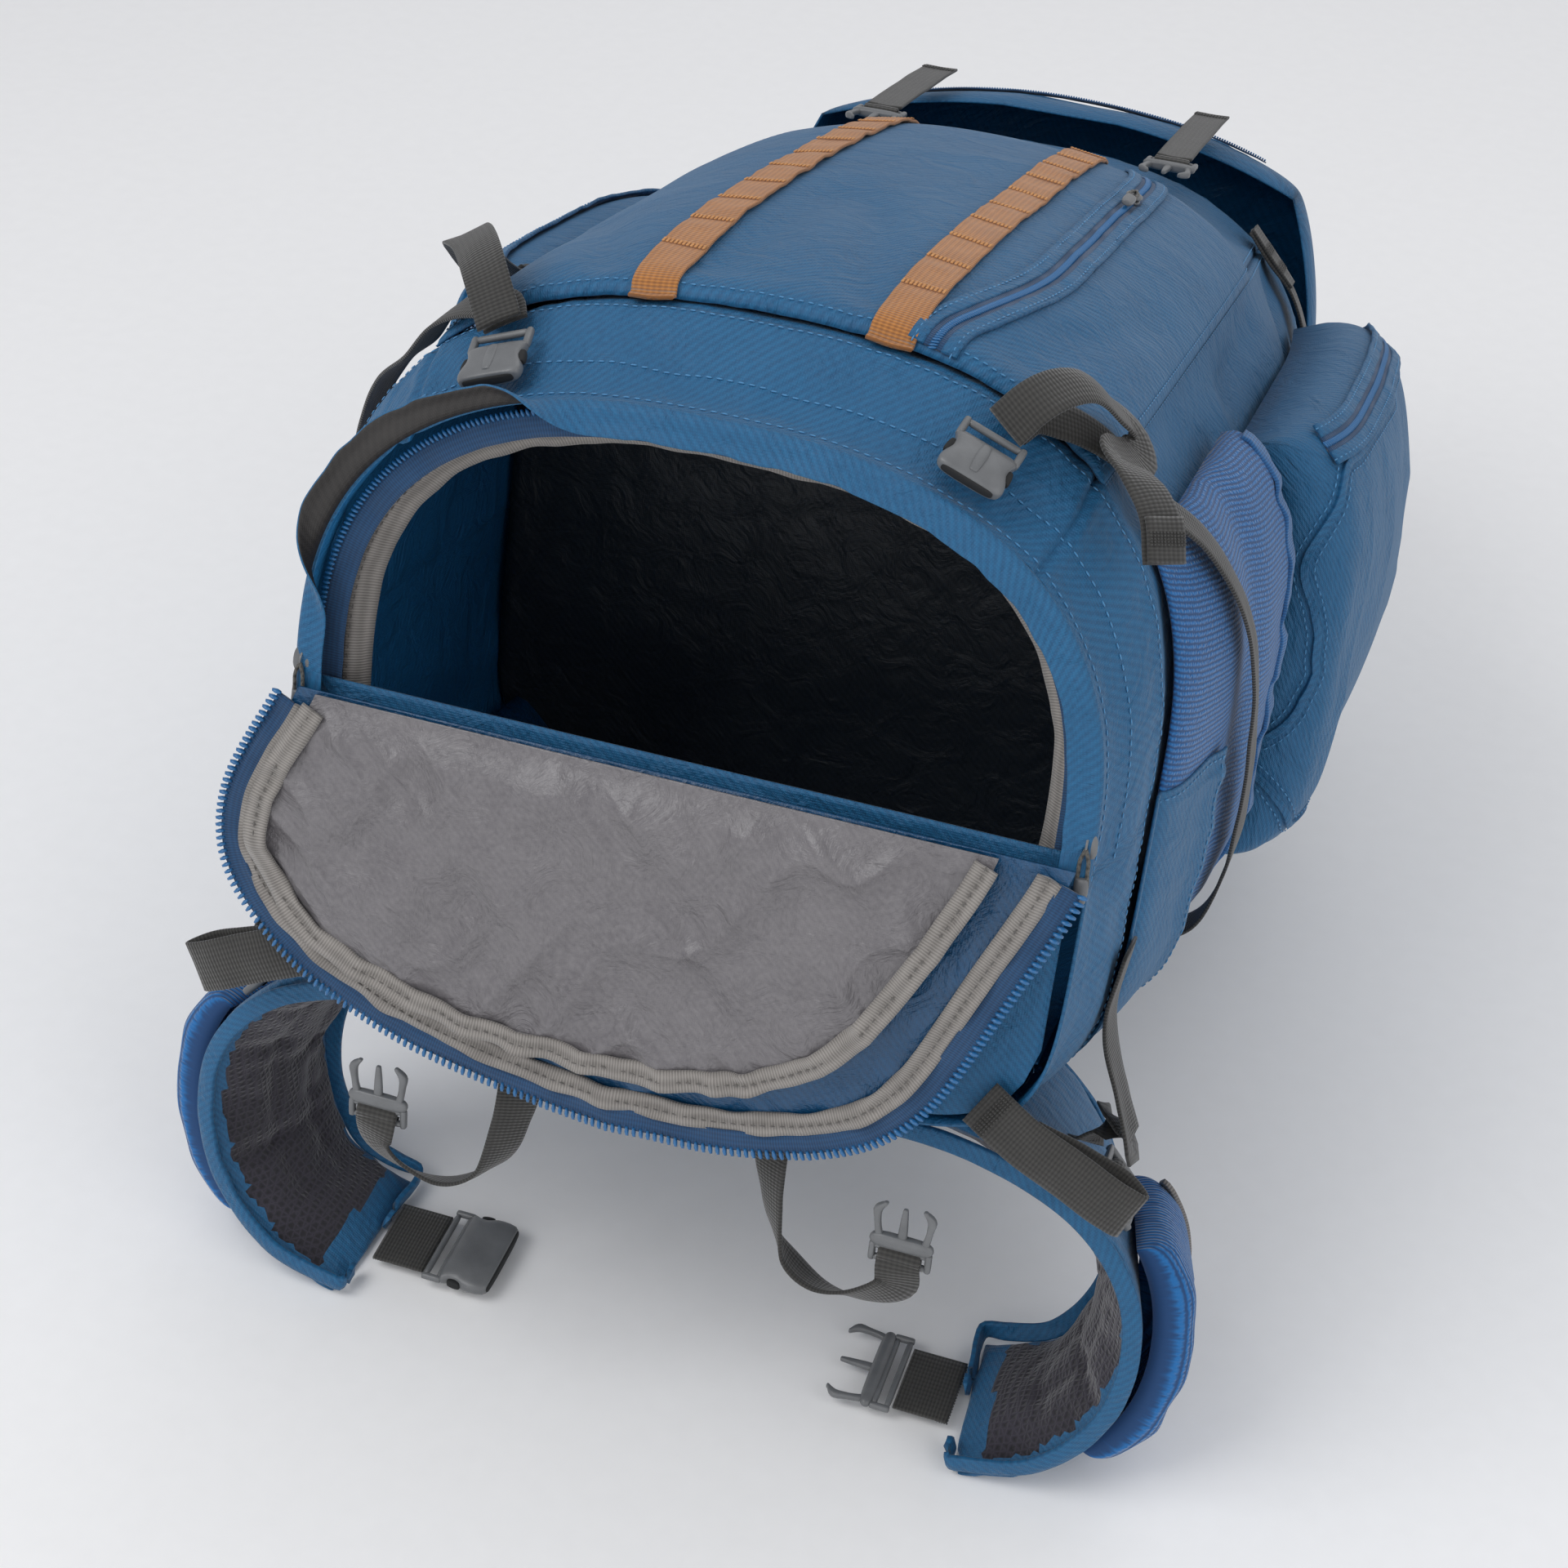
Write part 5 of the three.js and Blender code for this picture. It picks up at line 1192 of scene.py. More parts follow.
for side, sign in SIDES.items():
    route, face = body_route(LOWER_STRAP, sign)
    strap(f"lower_compression_web_{side}", route, face, WEB, "pack", f"lower_compression_strap_{side}", seed=91)
    tacked(f"lower_compression_tacks_{side}", tack(route, face, len(route) - 4, WEB), "pack")
    route, face = body_route(UPPER_STRAP, sign)
    strap(f"upper_compression_web_{side}", route, face, WIDE_WEB, "pack", f"upper_compression_strap_{side}",
          wave=1.0, seed=92)
    fold_route, fold_face = body_route([(y, a, lift + 2.4) for y, a, lift in UPPER_STRAP[:2]], sign)
    strap(f"upper_compression_fold_{side}", fold_route[:14], fold_face[:14], WIDE_WEB, "pack", wave=0.8)
    tacked(f"upper_compression_tacks_{side}",
           tack(fold_route, fold_face, 5, WIDE_WEB) + tack(fold_route, fold_face, 9, WIDE_WEB), "pack")
    middle = skin(575.5, 0.29, 9.5)
    lie = [flip(way, sign) for way in (middle, skin(575.0, 0.27, 9.5) - middle, out_at(575, 0.28))]
    moulding(f"upper_strap_lock_{side}", ladder_parts(WIDE_WEB), *lie, "pack")
    threaded(f"upper_strap_turn_{side}", *lie, WIDE_WEB, "pack")
    base, tip = skin(32, BUCKLE_AROUND, 7.5), skin(2, BUCKLE_AROUND, 8.5)
    lie = [flip(way, sign) for way in (base, tip - base, out_at(17, BUCKLE_AROUND))]
    parts, dark = socket_parts(WEB)
    moulding(f"front_socket_{side}", parts, *lie, f"front_clip_{side}", f"front_buckle_{side}", dark=dark)

# Spare webbing: a doubled tail that curls beside the right buckle, and a loose loop behind the left one.
tails = {"right": [(33, 0.412, 12), (40, 0.408, 22), (54, 0.398, 26), (70, 0.386, 21), (80, 0.378, 17),
                   (74, 0.372, 15), (60, 0.374, 14), (50, 0.378, 18), (42, 0.372, 27), (36, 0.362, 32),
                   (30, 0.352, 30)],
         "left": [(34, 0.412, 12), (48, 0.406, 24), (70, 0.396, 34), (100, 0.384, 36), (132, 0.374, 30),
                  (158, 0.366, 20), (176, 0.362, 14), (196, 0.361, 9)]}
for side, places in tails.items():
    route, face = body_route(places, SIDES[side])
    strap(f"spare_web_{side}", route, face, WEB, "pack", wave=1.4, seed=93)
    strap(f"spare_web_fold_{side}", route[-7:] + face[-7:] * 2, face[-7:], WEB, "pack", wave=0.4, seed=94)
    tacked(f"spare_web_tacks_{side}", tack(route + face * 1.6, face, len(route) - 4, WEB), "pack")


# ---- Bottom straps ----
# A loop of 20 mm webbing hangs from each side of the bottom edge. Its free end comes up through the pronged
# half of a buckle, which clips to the socket on the front once the door is shut.
STRAP_OUT, STRAP_SPAN, STRAP_DROP = 125, 66, 90
inner, low = STRAP_OUT - STRAP_SPAN, -STRAP_DROP
LOOP = [(inner, 7, -2), (inner, 2, -18), (inner + 3, 0, low * 0.55), (inner + 14, -1, low * 0.88),
        ((inner + STRAP_OUT) / 2, -3, low), (STRAP_OUT - 13, -5, low * 0.96), (STRAP_OUT, -6, low * 0.85),
        (STRAP_OUT, -8.2, low * 0.72), (STRAP_OUT, -6, low * 0.655)]
LOOP_FACES = [(0, -1, -0.2), (0, -1, 0), (-0.3, -1, 0), (-0.6, -0.7, -0.6), (0, -0.2, -1), (0.6, -0.7, -0.5),
              (0, -1, 0), (0, -1, 0), (0, -1, 0)]
for side, sign in SIDES.items():
    body = f"bottom_strap_{side}"
    route = spline(LOOP, 2.5)
    look = spread(LOOP_FACES, len(route))
    strap(f"bottom_loop_web_{side}", flip(route, sign), flip(look, sign), WEB, body, f"pad_strap_{side}",
          wave=0.8, seed=95)
    lie = flip((STRAP_OUT, -5.2, 1 - STRAP_DROP * 0.75), sign), (0, -0.1, 1), (0, -1, 0)
    moulding(f"bottom_prongs_{side}", prong_parts(WEB), *lie, body, f"pad_buckle_{side}")
    threaded(f"bottom_prongs_turn_{side}", *lie, WEB, body, (5.2,))

# A doubled loop of 25 mm webbing is sewn into each lower corner of the bag, to carry things by.
fold_axis = unit(np.array((0.41, 0.0, 0.91)))
for side, sign in SIDES.items():
    route = spline([(148, -3.5, 24), (170, -7, 12), (194, -8, 1), (212, -7, -8), (220, -3, -12), (214, 2.5, -9),
                    (194, 3, 0), (170, 0.5, 8)], 2)
    look = unit(np.cross(np.gradient(route, axis=0), fold_axis))
    look *= np.sign(np.dot(look[0], (0, -1, 0)))
    route, look = flip(route, sign), flip(look, sign)
    strap(f"corner_loop_{side}", route, look, WIDE_WEB, "pack", wave=1.2, seed=96)
    tacked(f"corner_loop_tacks_{side}", tack(route, look, 4, WIDE_WEB), "pack", 1.8, 1.6)


# ---- Hip belt ----
# Two padded wings of foam: knitted spacer mesh towards the wearer, pack cloth outside, bound in blue tape. Each
# carries a small mesh pocket, a stabiliser lock and half of the 38 mm belt with its buckle.
WING_WIDTH, WING_TIP, WING_RISE, BELT_WEB = 116, 84, 74, 38
POUCH_U, POUCH_V, POUCH_RISE = (0.44, 0.8), (0.14, 0.86), 22  # the hip pocket's edges on the wing, and its bulge
WING_LINE = [(97.5, 0, -4), (147.5, 0, -9), (194, 0, -36), (222, 0, -86), (220, 0, -138), (194, 0, -176),
             (152, 0, -190)]
wing_route = spline(WING_LINE, 0.5)
wing_walk = distance_along(wing_route)
wing_walk /= wing_walk[-1]
wing_along = unit(np.gradient(wing_route, axis=0))

pad_cover = woven("nylon cover of the padding", "#186592", "#0D466E", 1.1, 0.16, 0.6, 2.0, uv_map=False,
                  sheen_weight=0.18)
# Spacer mesh: a polyester knit with open cells 3.2 mm apart over foam, matt and nearly black.
spacer_mesh, spacer_tree, spacer_shader = new_material("dark polyester spacer mesh", roughness=0.85,
                                                       sheen_weight=0.35, sheen_roughness=0.5)
place = add_node(spacer_tree, "ShaderNodeTexCoord").outputs["Object"]
cells = add_node(spacer_tree, "ShaderNodeTexVoronoi", {"Vector": place, "Scale": 312.0, "Randomness": 0.25},
                 feature="DISTANCE_TO_EDGE")
slow = add_node(spacer_tree, "ShaderNodeTexNoise", {"Vector": place, "Scale": 22.0, "Detail": 4.0})
blotch = add_node(spacer_tree, "ShaderNodeMix", {"Factor": 0.3, "A": cells.outputs["Distance"],
                                                 "B": slow.outputs["Fac"]}, data_type="FLOAT")
# Darker in each cell's middle than at its walls: painted shade in the open cells, with a slow random tone.
ramped(spacer_tree, spacer_shader, blotch.outputs["Result"], 0.08, "#383440", 0.34, "#1A181F")
bumped(spacer_tree, spacer_shader, cells.outputs["Distance"], 1.2, invert=True)


def wing_place(u, v, lift=0.0):
    """A place on the right wing's outer face: u from its root to its tip, v from its lower to its upper edge."""
    u, v, lift = floats(u, v, lift)
    x, z, dx, dz = (np.interp(u, wing_walk, c) for c in (wing_route[:, 0], wing_route[:, 2], wing_along[:, 0],
                                                         wing_along[:, 2]))
    off = (v - 0.5) * mix(WING_WIDTH, WING_TIP, smooth(u))
    rise = lift - off * 0.26 * smooth((u - 0.12) / 0.4)
    return np.stack([x - dz * rise, WING_RISE + off, z + dx * rise], -1)


def wing_out(u):
    """The way out of the right wing's outer face, a share of the way along it."""
    dx, dz = (np.interp(u, wing_walk, c) for c in (wing_along[:, 0], wing_along[:, 2]))
    return np.stack([-dz, 0 * dx, dx], -1)


def stood(points):
    """Places as the pack lies, in metres, back on the standing pack."""
    p = np.asarray(points, float) * 1000 - (0, shift, lift_up)
    return np.stack([p[..., 0], p[..., 1] * lean_cos - p[..., 2] * lean_sin,
                     p[..., 1] * lean_sin + p[..., 2] * lean_cos], -1)


def mesh_points(mesh, kind="co"):
    """A mesh's places, or with kind "normal" the way out at each of them."""
    flat = np.empty(len(mesh.vertices) * 3)
    mesh.vertices.foreach_get(kind, flat)
    return flat.reshape(-1, 3)


def blown_up(node, voxel, pull_in, cap, channels=None, frames=20):
    """A padded shape from its cut shape: shrunk a little, then swollen as cloth under pressure."""
    mesh = frame["nodes"][node].data.copy()
    merged = bmesh.new()
    merged.from_mesh(mesh)
    bmesh.ops.remove_doubles(merged, verts=merged.verts, dist=1e-6)
    merged.to_mesh(mesh)
    merged.free()
    soft = in_scene("swelling_pad", mesh)
    cut = soft.modifiers.new("even_mesh", "REMESH")
    cut.mode, cut.voxel_size = "VOXEL", voxel / 1000
    eased = soft.modifiers.new("eased", "SMOOTH")
    eased.factor, eased.iterations = 0.5, 3
    even = bpy.data.meshes.new_from_object(soft.evaluated_get(bpy.context.evaluated_depsgraph_get()))
    soft.modifiers.clear()
    soft.data = even
    normals = mesh_points(even, "normal")
    start = mesh_points(even) - normals * pull_in / 1000
    even.vertices.foreach_set("co", start.ravel())
    pressed = soft.modifiers.new("pressure", "CLOTH")
    pressed.settings.use_pressure = True
    pressed.settings.uniform_pressure_force = 4
    pressed.settings.effector_weights.gravity = 0
    pressed.settings.quality = 4
    pressed.point_cache.frame_start, pressed.point_cache.frame_end = 1, frames
    for step in range(1, frames + 1):
        bpy.context.scene.frame_set(step)
    swollen = soft.evaluated_get(bpy.context.evaluated_depsgraph_get())
    after = mesh_points(swollen.data)
    soft.modifiers.clear()
    bpy.context.scene.frame_set(1)
    moved = after - start
    far = np.maximum(np.linalg.norm(moved, axis=1, keepdims=True), 1e-9)
    after = start + moved * np.minimum(1, cap / 1000 / far)
    if channels is not None:
        after = after + turned(channels(stood(after))) / 1000
    faces = [tuple(face.vertices) for face in even.polygons]
    bpy.data.objects.remove(soft)
    return after, faces


def pad(name, shape, sign, body, node, materials, choose):
    """A padded piece from a swollen shape or its mirror; choose says which faces have which material."""
    points, faces = shape
    if sign < 0:
        points, faces = points * (-1, 1, 1), [face[::-1] for face in faces]
    mesh = bpy.data.meshes.new(name)
    mesh.from_pydata(points.tolist(), [], faces)
    for material in materials:
        mesh.materials.append(material)
    mesh.shade_smooth()
    centres = stood(np.array([face.center[:] for face in mesh.polygons])) * (sign, 1, 1)
    normals = np.array([face.normal[:] for face in mesh.polygons])
    normals = np.stack([normals[:, 0] * sign, normals[:, 1] * lean_cos - normals[:, 2] * lean_sin,
                        normals[:, 1] * lean_sin + normals[:, 2] * lean_cos], -1)
    mesh.polygons.foreach_set("material_index", choose(centres, normals).astype(np.int32))
    piece = in_scene(name, mesh)
    rounded(piece)
    held(piece, body, "pad_foam", node)


def along_wing(points):
    """Nearest share of the way along the wing, and how far each place is from the wing's middle line."""
    nearest = np.argmin(np.hypot(points[:, :1] - wing_route[None, ::6, 0],
                                 points[:, 2:] - wing_route[None, ::6, 2]), 1)
    u = wing_walk[::6][nearest]
    return u, (points[:, 1] - WING_RISE) / mix(WING_WIDTH, WING_TIP, smooth(u)) + 0.5


def wing_channels(points):
    """Two sewn channels run along each wing, on its inner face."""
    u, v = along_wing(points)
    out = wing_out(u)
    near_mid = wing_place(u, v, -8.0)
    inner = np.sum((points - near_mid) * out, -1) < 0
    sink = (near_line(v - 0.36, 0.045) + near_line(v - 0.66, 0.045)) * smooth(u * 6) * smooth((0.9 - u) * 9)
    return out * (2.6 * sink * inner)[:, None]


def wing_faces(points, normals):
    """Spacer mesh on the inner face, inside the piping, and cover cloth elsewhere."""
    u, v = along_wing(points)
    inner = np.sum(normals * wing_out(u), -1) < -0.3
    return np.where(inner & (v > 0.1) & (v < 0.9) & (u < 0.94), 1, 0)


BELT_FACE = (0, 0.26, -1.0)  # the way the belt and its buckle face, away from the wearer
wing_shape = blown_up("hip_wing_right", 4.5, 1.4, 5, wing_channels)
for side, sign in SIDES.items():
    body = f"wing_{side}"
    pad(f"hip_wing_pad_{side}", wing_shape, sign, body, f"hip_wing_{side}", [pad_cover, spacer_mesh], wing_faces)
    edge_u = np.concatenate([np.linspace(0.03, 0.985, 90), np.full(24, 0.99), np.linspace(0.985, 0.03, 90)])
    edge_v = np.concatenate([np.full(90, 0.02), np.linspace(0.03, 0.97, 24), np.full(90, 0.98)])
    route = spline(wing_place(edge_u, edge_v, -7.2)[::3], 3)
    middle = spline(wing_place(edge_u, mix(edge_v, 0.5, 0.2), -7.2)[::3], 3)
    count = min(len(route), len(middle))
    outwards = unit(route[:count] - np.array([middle[int(i * len(middle) / count)] for i in range(count)]))
    piping = ribbon(f"hip_wing_piping_{side}", flip(route[:count], sign) + flip(outwards, sign) * 0.9,
                    flip(outwards, sign), 9, 2.4, [pack_cloth], wave=0.5, wave_length=12, seed=61, cup=-0.5)
    held(piping, body, "pack_cloth")
    u, v = np.meshgrid(*(0.5 - 0.5 * np.cos(np.linspace(0, math.pi, count)) for count in (80, 50)), indexing="ij")
    folds = 1.6 * noise(u * 9, v * 3, 62) + 1.3 * (crease(u * 5, v * 4, 63) - 0.8)
    folds = folds * smooth(np.minimum(u, 1 - u) * 8) * smooth(np.minimum(v, 1 - v) * 8)
    puff = 3 + POUCH_RISE * swell(u, 4) * swell(v, 4) + folds
    pouch = flip(wing_place(mix(*POUCH_U, u), mix(*POUCH_V, v), puff), sign)
    order = slice(None) if sign > 0 else slice(None, None, -1)
    pouch_piece = lay_grid(f"hip_pocket_mesh_{side}", pouch[order], v[order] * 74, (u * 130)[order],
                           [stretch_mesh])
    thicken(pouch_piece, 1.2)
    held(pouch_piece, body, "stretch_mesh", f"hip_pocket_{side}")
    hem_u = np.linspace(0.02, 0.98, 60)
    along_pouch = mix(*POUCH_U, hem_u)
    hem = wing_place(along_pouch, mix(*POUCH_V, 0.9), 4.4 + POUCH_RISE * swell(hem_u, 4) * swell(0.9, 4))
    hem_piece = ribbon(f"hip_pocket_hem_{side}", flip(hem, sign), flip(wing_out(along_pouch), sign) + (0, 0.6, 0),
                       11, 2.2, [grey_binding], wave=1.2, wave_length=11, seed=64)
    held(hem_piece, body, "lining")
    belt = flip([(152 - r, WING_RISE, -182.8) for r in np.linspace(3, 30, 12)], sign)
    belt_face = flip(np.full((12, 3), BELT_FACE), sign)
    strap(f"hip_belt_web_{side}", belt, belt_face, BELT_WEB, body, f"hip_webbing_{side}", thickness=2, wave=0.4)
    tacked(f"hip_belt_tacks_{side}", tack(belt, belt_face, 1, BELT_WEB), body, 1.8, 1.6)
    low, high = wing_place(0.41, 0.32, 7), wing_place(0.32, 0.32, 8)
    lie = [flip(way, sign) for way in (low, high - low, wing_out(0.36))]
    moulding(f"stabiliser_ladder_{side}", ladder_parts(WIDE_WEB), *lie, body, f"stabiliser_lock_{side}")
    threaded(f"stabiliser_turn_{side}", *lie, WIDE_WEB, body)
    end, y = wing_place(0.29, 0.32, 10), BOTTLE_FROM - WIDE_WEB / 2 - 3
    route = [skin(y, 0.2, LAID + 3.5), skin(y, 0.17, LAID + 3.5), (end[0] + 13, y - 2, 12),
             (end[0] + 20, y - 3, -8), (end[0] + 11, end[1], end[2] + 14), end]
    look = [out_at(y, 0.2), out_at(y, 0.17), (1, 0, 0.3), (1, 0, -0.1), (0.9, 0, 0.5), wing_out(0.3)]
    route = spline(route, 2.5)
    look = spread(look, len(route))
    stabiliser = ribbon(f"stabiliser_web_{side}", flip(route, sign), flip(look, sign), WIDE_WEB, WEB_THICKNESS,
                        [charcoal_web], wave=1.0, wave_length=22, seed=65)
    tuple(placed(flip(skin(y, 0.17, 5.6), sign)))
    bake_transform(stabiliser)
    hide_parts(f"stabiliser_strap_{side}")
moulding("belt_prongs", prong_parts(BELT_WEB, 1.2), (121.5, WING_RISE, -181.8), (-1, 0, 0), BELT_FACE,
         "wing_right", "belt_buckle_male")
belt_parts, belt_dark = socket_parts(BELT_WEB, 1.2)
moulding("belt_socket", belt_parts, (-121.5, WING_RISE, -181.8), (1, 0, 0), BELT_FACE, "wing_left",
         "belt_buckle_female", dark=belt_dark)


# ---- Back padding ----
# A foam pad behind the shoulders and one behind the waist, both under spacer mesh with sewn air channels.
def back_channels(points):
    """Channels are pressed in on the wearer's side only."""
    x, y, z = points.T
    sink = np.maximum(near_line(x, 9), 0.7 * np.maximum(near_line(y - 352, 7), near_line(y - 452, 7)))
    sink = np.maximum(sink, 0.7 * near_line(y - 74, 7) * (y < 200))
    return np.stack([0 * x, 0 * x, 5.5 * sink * (z < -14)], -1)


def back_faces(points, normals):
    """Spacer mesh towards the wearer, cover cloth towards the bag."""
    return np.where(normals[:, 2] < 0.3, 0, 1)


for node, voxel in (("back_pad", 6), ("lumbar_pad", 5)):
    pad(f"{node}_cover", blown_up(node, voxel, 1.6, 6, back_channels), 1, "pack", node, [spacer_mesh, pad_cover],
        back_faces)


# ---- Shoulder straps ----
# Curved foam straps, spacer mesh towards the wearer and pack cloth outside, each ending in a ladder lock. A
# 20 mm web runs from the lock to the waist, and a chest strap joins the two.
SHOULDER_LINE = [(78, 564, -8), (79, 586, -16), (82, 594, -36), (87, 580, -60), (96, 514, -64), (108, 414, -60),
                 (110, 324, -50), (104, 264, -44)]
shoulder_route = spline(SHOULDER_LINE, 1)


def shoulder_faces(points, normals):
    """The strap's far side, away from the pack, is the outside; near its bend that turns over the top."""
    nearest = np.argmin(np.linalg.norm(points[:, None] - shoulder_route[None, ::8], axis=2), 1)
    along = unit(np.gradient(shoulder_route[::8], axis=0))[nearest]
    away = np.cross(along, (1, 0, 0))
    return np.where(np.sum(normals * away, -1) > 0.2, 1, 0)


shoulder_shape = blown_up("shoulder_strap_right", 5, 1.2, 5)
shoulder_end = np.array(SHOULDER_LINE[-1], float)
shoulder_aim = unit(shoulder_end - shoulder_route[-4])
for side, sign in SIDES.items():
    body = f"shoulder_{side}"
    pad(f"shoulder_pad_{side}", shoulder_shape, sign, body, f"shoulder_strap_{side}", [spacer_mesh, pad_cover],
        shoulder_faces)
    lie = flip(shoulder_end + shoulder_aim + (0, 0, 6), sign), flip(shoulder_aim, sign), (0, 0, -1)
    moulding(f"shoulder_ladder_{side}", ladder_parts(WEB), *lie, body, f"shoulder_lock_{side}")
    threaded(f"shoulder_turn_{side}", *lie, WEB, body)
    top = shoulder_end + shoulder_aim * 39.5 + (0, 0, 6)
    foot = np.array((152, 146, -LAID))
    route = spline([top, mix(top, foot, 0.4) - (0, 0, 3), mix(top, foot, 0.8), foot], 3)
    web = ribbon(f"shoulder_web_{side}", flip(route, sign), np.full(route.shape, (0, 0, -1.0)), WEB, WEB_THICKNESS,
                 [charcoal_web], wave=0.8, wave_length=22, seed=66)
    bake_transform(web)
    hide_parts(f"shoulder_webbing_{side}")
chest = spline([(-124, 454, -68), (-76, 454, -69), (-42, 454, -64), (-14, 454, -64)], 3)
chest_out = np.full(chest.shape, (0, 0, -1.0))
strap("chest_web", chest, chest_out, WEB, "sternum", "sternum_strap", thickness=2.4, wave=0.3)
tacked("chest_web_tacks", tack(chest, chest_out, 3, WEB), "sternum")
haul = spline([(x, y, -13) for x, y in ((-34, 566), (-31, 588), (-17, 602), (17, 602), (31, 588), (34, 566))], 2.5)
haul_out = unit(haul - (0, 575, -13))
strap("haul_web", haul, haul_out, WEB, "haul", "haul_loop", thickness=2.4, wave=0.5)
tacked("haul_web_tacks", tack(haul, haul_out, 3, WEB) + tack(haul, haul_out, len(haul) - 4, WEB), "haul")


# ---- Collar and drawcord ----
# Above the lid's seam the bag ends in a thin cloth collar. A braided 4 mm cord in its hem draws it in, and a
# sprung lock holds the cord.
DRAW, COLLAR_FROM, COLLAR_LENGTH, CORD_WIDTH = 0.72, BODY_LENGTH + 0.5, 58, 4
u, around = np.meshgrid(np.linspace(0, 1, 34), np.arange(320) / 320, indexing="ij")
gather = 2.6 * noise(around * GIRTH / 17, u * 1.5, 71) * smooth(u * 1.6)
gather += 1.4 * (crease(around * GIRTH / 30, u * 3, 72) - 0.8)
collar_places = section(COLLAR_FROM + COLLAR_LENGTH * u, angle_at(around), mix(1, DRAW, smooth(u)))
collar_places[..., 0] *= 1 + gather / 180
collar_places[..., 2] = mix(collar_places[..., 2], half_depth(600.0), -gather / 180)
collar_cloth = lay_grid("collar_cloth", collar_places, around * GIRTH, COLLAR_LENGTH * u * 1.2,
                        [pack_cloth, coated_back], ring=True)
thicken(collar_cloth, 1.3, inside=1)
held(collar_cloth, "pack", "pack_cloth", "collar")

# Braided polyester cord: strands cross every 2 mm and stand up a little.
braid, braid_tree, braid_shader = new_material("braided charcoal cord", roughness=0.7, sheen_weight=0.2)
place = add_node(braid_tree, "ShaderNodeTexCoord").outputs["UV"]
mirrored = add_node(braid_tree, "ShaderNodeMapping", {"Vector": place, "Scale": (-1, 1, 1)}).outputs["Vector"]
strands = [add_node(braid_tree, "ShaderNodeTexWave", {"Vector": way, "Scale": 0.16}, bands_direction="DIAGONAL")
           for way in (place, mirrored)]
weave = add_node(braid_tree, "ShaderNodeMath", {0: strands[0].outputs["Fac"], 1: strands[1].outputs["Fac"]},
                 operation="MAXIMUM")
ramped(braid_tree, braid_shader, weave.outputs[0], 0, "#232321", 1, "#55534E")
bumped(braid_tree, braid_shader, weave.outputs[0], 0.4)


def tube(name, route, radius, material, body, *nodes, sides=12):
    """A round cord along a route."""
    along = unit(np.gradient(route, axis=0))
    side = np.zeros_like(route)
    side[0] = unit(np.cross(along[0], (0.31, 0.9, 0.2)))
    for i in range(1, len(route)):
        side[i] = unit(side[i - 1] - np.dot(side[i - 1], along[i]) * along[i])
    over = np.cross(along, side)
    turns = np.linspace(0, 2 * math.pi, sides, endpoint=False)
    rings = route[:, None] + radius * (np.cos(-turns)[None, :, None] * side[:, None]
                                       + np.sin(-turns)[None, :, None] * over[:, None])
    rings = np.concatenate([rings[:1].mean(1, keepdims=True).repeat(sides, 1), rings,
                            rings[-1:].mean(1, keepdims=True).repeat(sides, 1)])
    walked = distance_along(route)
    walked = np.concatenate([[0], walked, walked[-1:]])
    made = lay_grid(name, rings, turns[None] * radius, walked[:, None], [material], ring=True)
    held(made, body, "webbing", *nodes)


mouth_y = COLLAR_FROM + COLLAR_LENGTH + 0.5 + CORD_WIDTH / 2 + 1
mouth_front = section(mouth_y, math.pi / 2, DRAW * 0.98)[2]
cord_route = [section(mouth_y, angle_at((0.512 + i / 24 * 0.976) % 1), DRAW * 0.98) for i in range(25)]
cord_route += [(10, mouth_y + 9, mouth_front + 5)] + [(x, mouth_y + 14, mouth_front + 6) for x in (24, 32, 60, 94)]
cord_route = spline(cord_route, 3)
tube("collar_drawcord", cord_route, CORD_WIDTH / 2, braid, "pack", "drawcord")
lock_parts, lock_dark = [], []
loft(lock_parts, [(0, -10, 0, 6, 5), (0, -7, 0, 7, 5.8), (0, 4, 0, 7, 5.8), (0, 6, 0, 6, 5)], 2.8, 24)
loft(lock_parts, [(0, 5, 0, 4.6, 3.8), (0, 10, 0, 5, 4.2)], 2.2, 20)
# The lock's side slits: dark lofts of painted shade.
for x in (-1, 1):
    loft(lock_dark, [(x * 6.6, -3, 0, 0.6, 2.6), (x * 6.8, 0, 0, 0.6, 2.8), (x * 6.6, 3, 0, 0.6, 2.6)], 2, 10)
moulding("sprung_cord_lock", lock_parts, (46, mouth_y + 14, mouth_front + 6), (0, 1, 0), (0, 0, 1), "cord_toggle",
         "cord_lock", dark=lock_dark)


# ---- Lid ----
# A boxed lid of pack cloth over the collar, with piping round its top and a zip in its front wall. Two webs at
# the front hold it down.
LID_WIDTH, LID_DEPTH, LID_START, LID_RISE = BODY_WIDTH - 30, BODY_DEPTH + 26, BODY_LENGTH + 22, 96


def lid_place(u, v, lift=0.0):
    """A place on the lid's outside: u from the left to the right, v from the back to the front."""
    u, v = floats(u, v)
    a, b = 2 * u - 1, 2 * v - 1
    corner = np.where(b > 0, 0.3, 0.05)
    top = swell(u, 4.5) * swell(v, 4.5)
    sag = 3.5 * noise(u * 5, v * 4, 76) + 2.6 * (crease(u * 3.2, v * 3.4, 77) - 0.85)
    x = a * np.sqrt(1 - corner * b * b) * LID_WIDTH / 2
    z = LID_DEPTH / 2 - 2 + b * np.sqrt(1 - corner * a * a) * LID_DEPTH / 2
    grown = 1 + lift / 170
    return np.stack([x * grown, LID_START + LID_RISE * top + (sag - 2.5) * smooth(top * 1.4 - 0.3) + lift * top,
                     (z - 159) * grown + 159], -1)


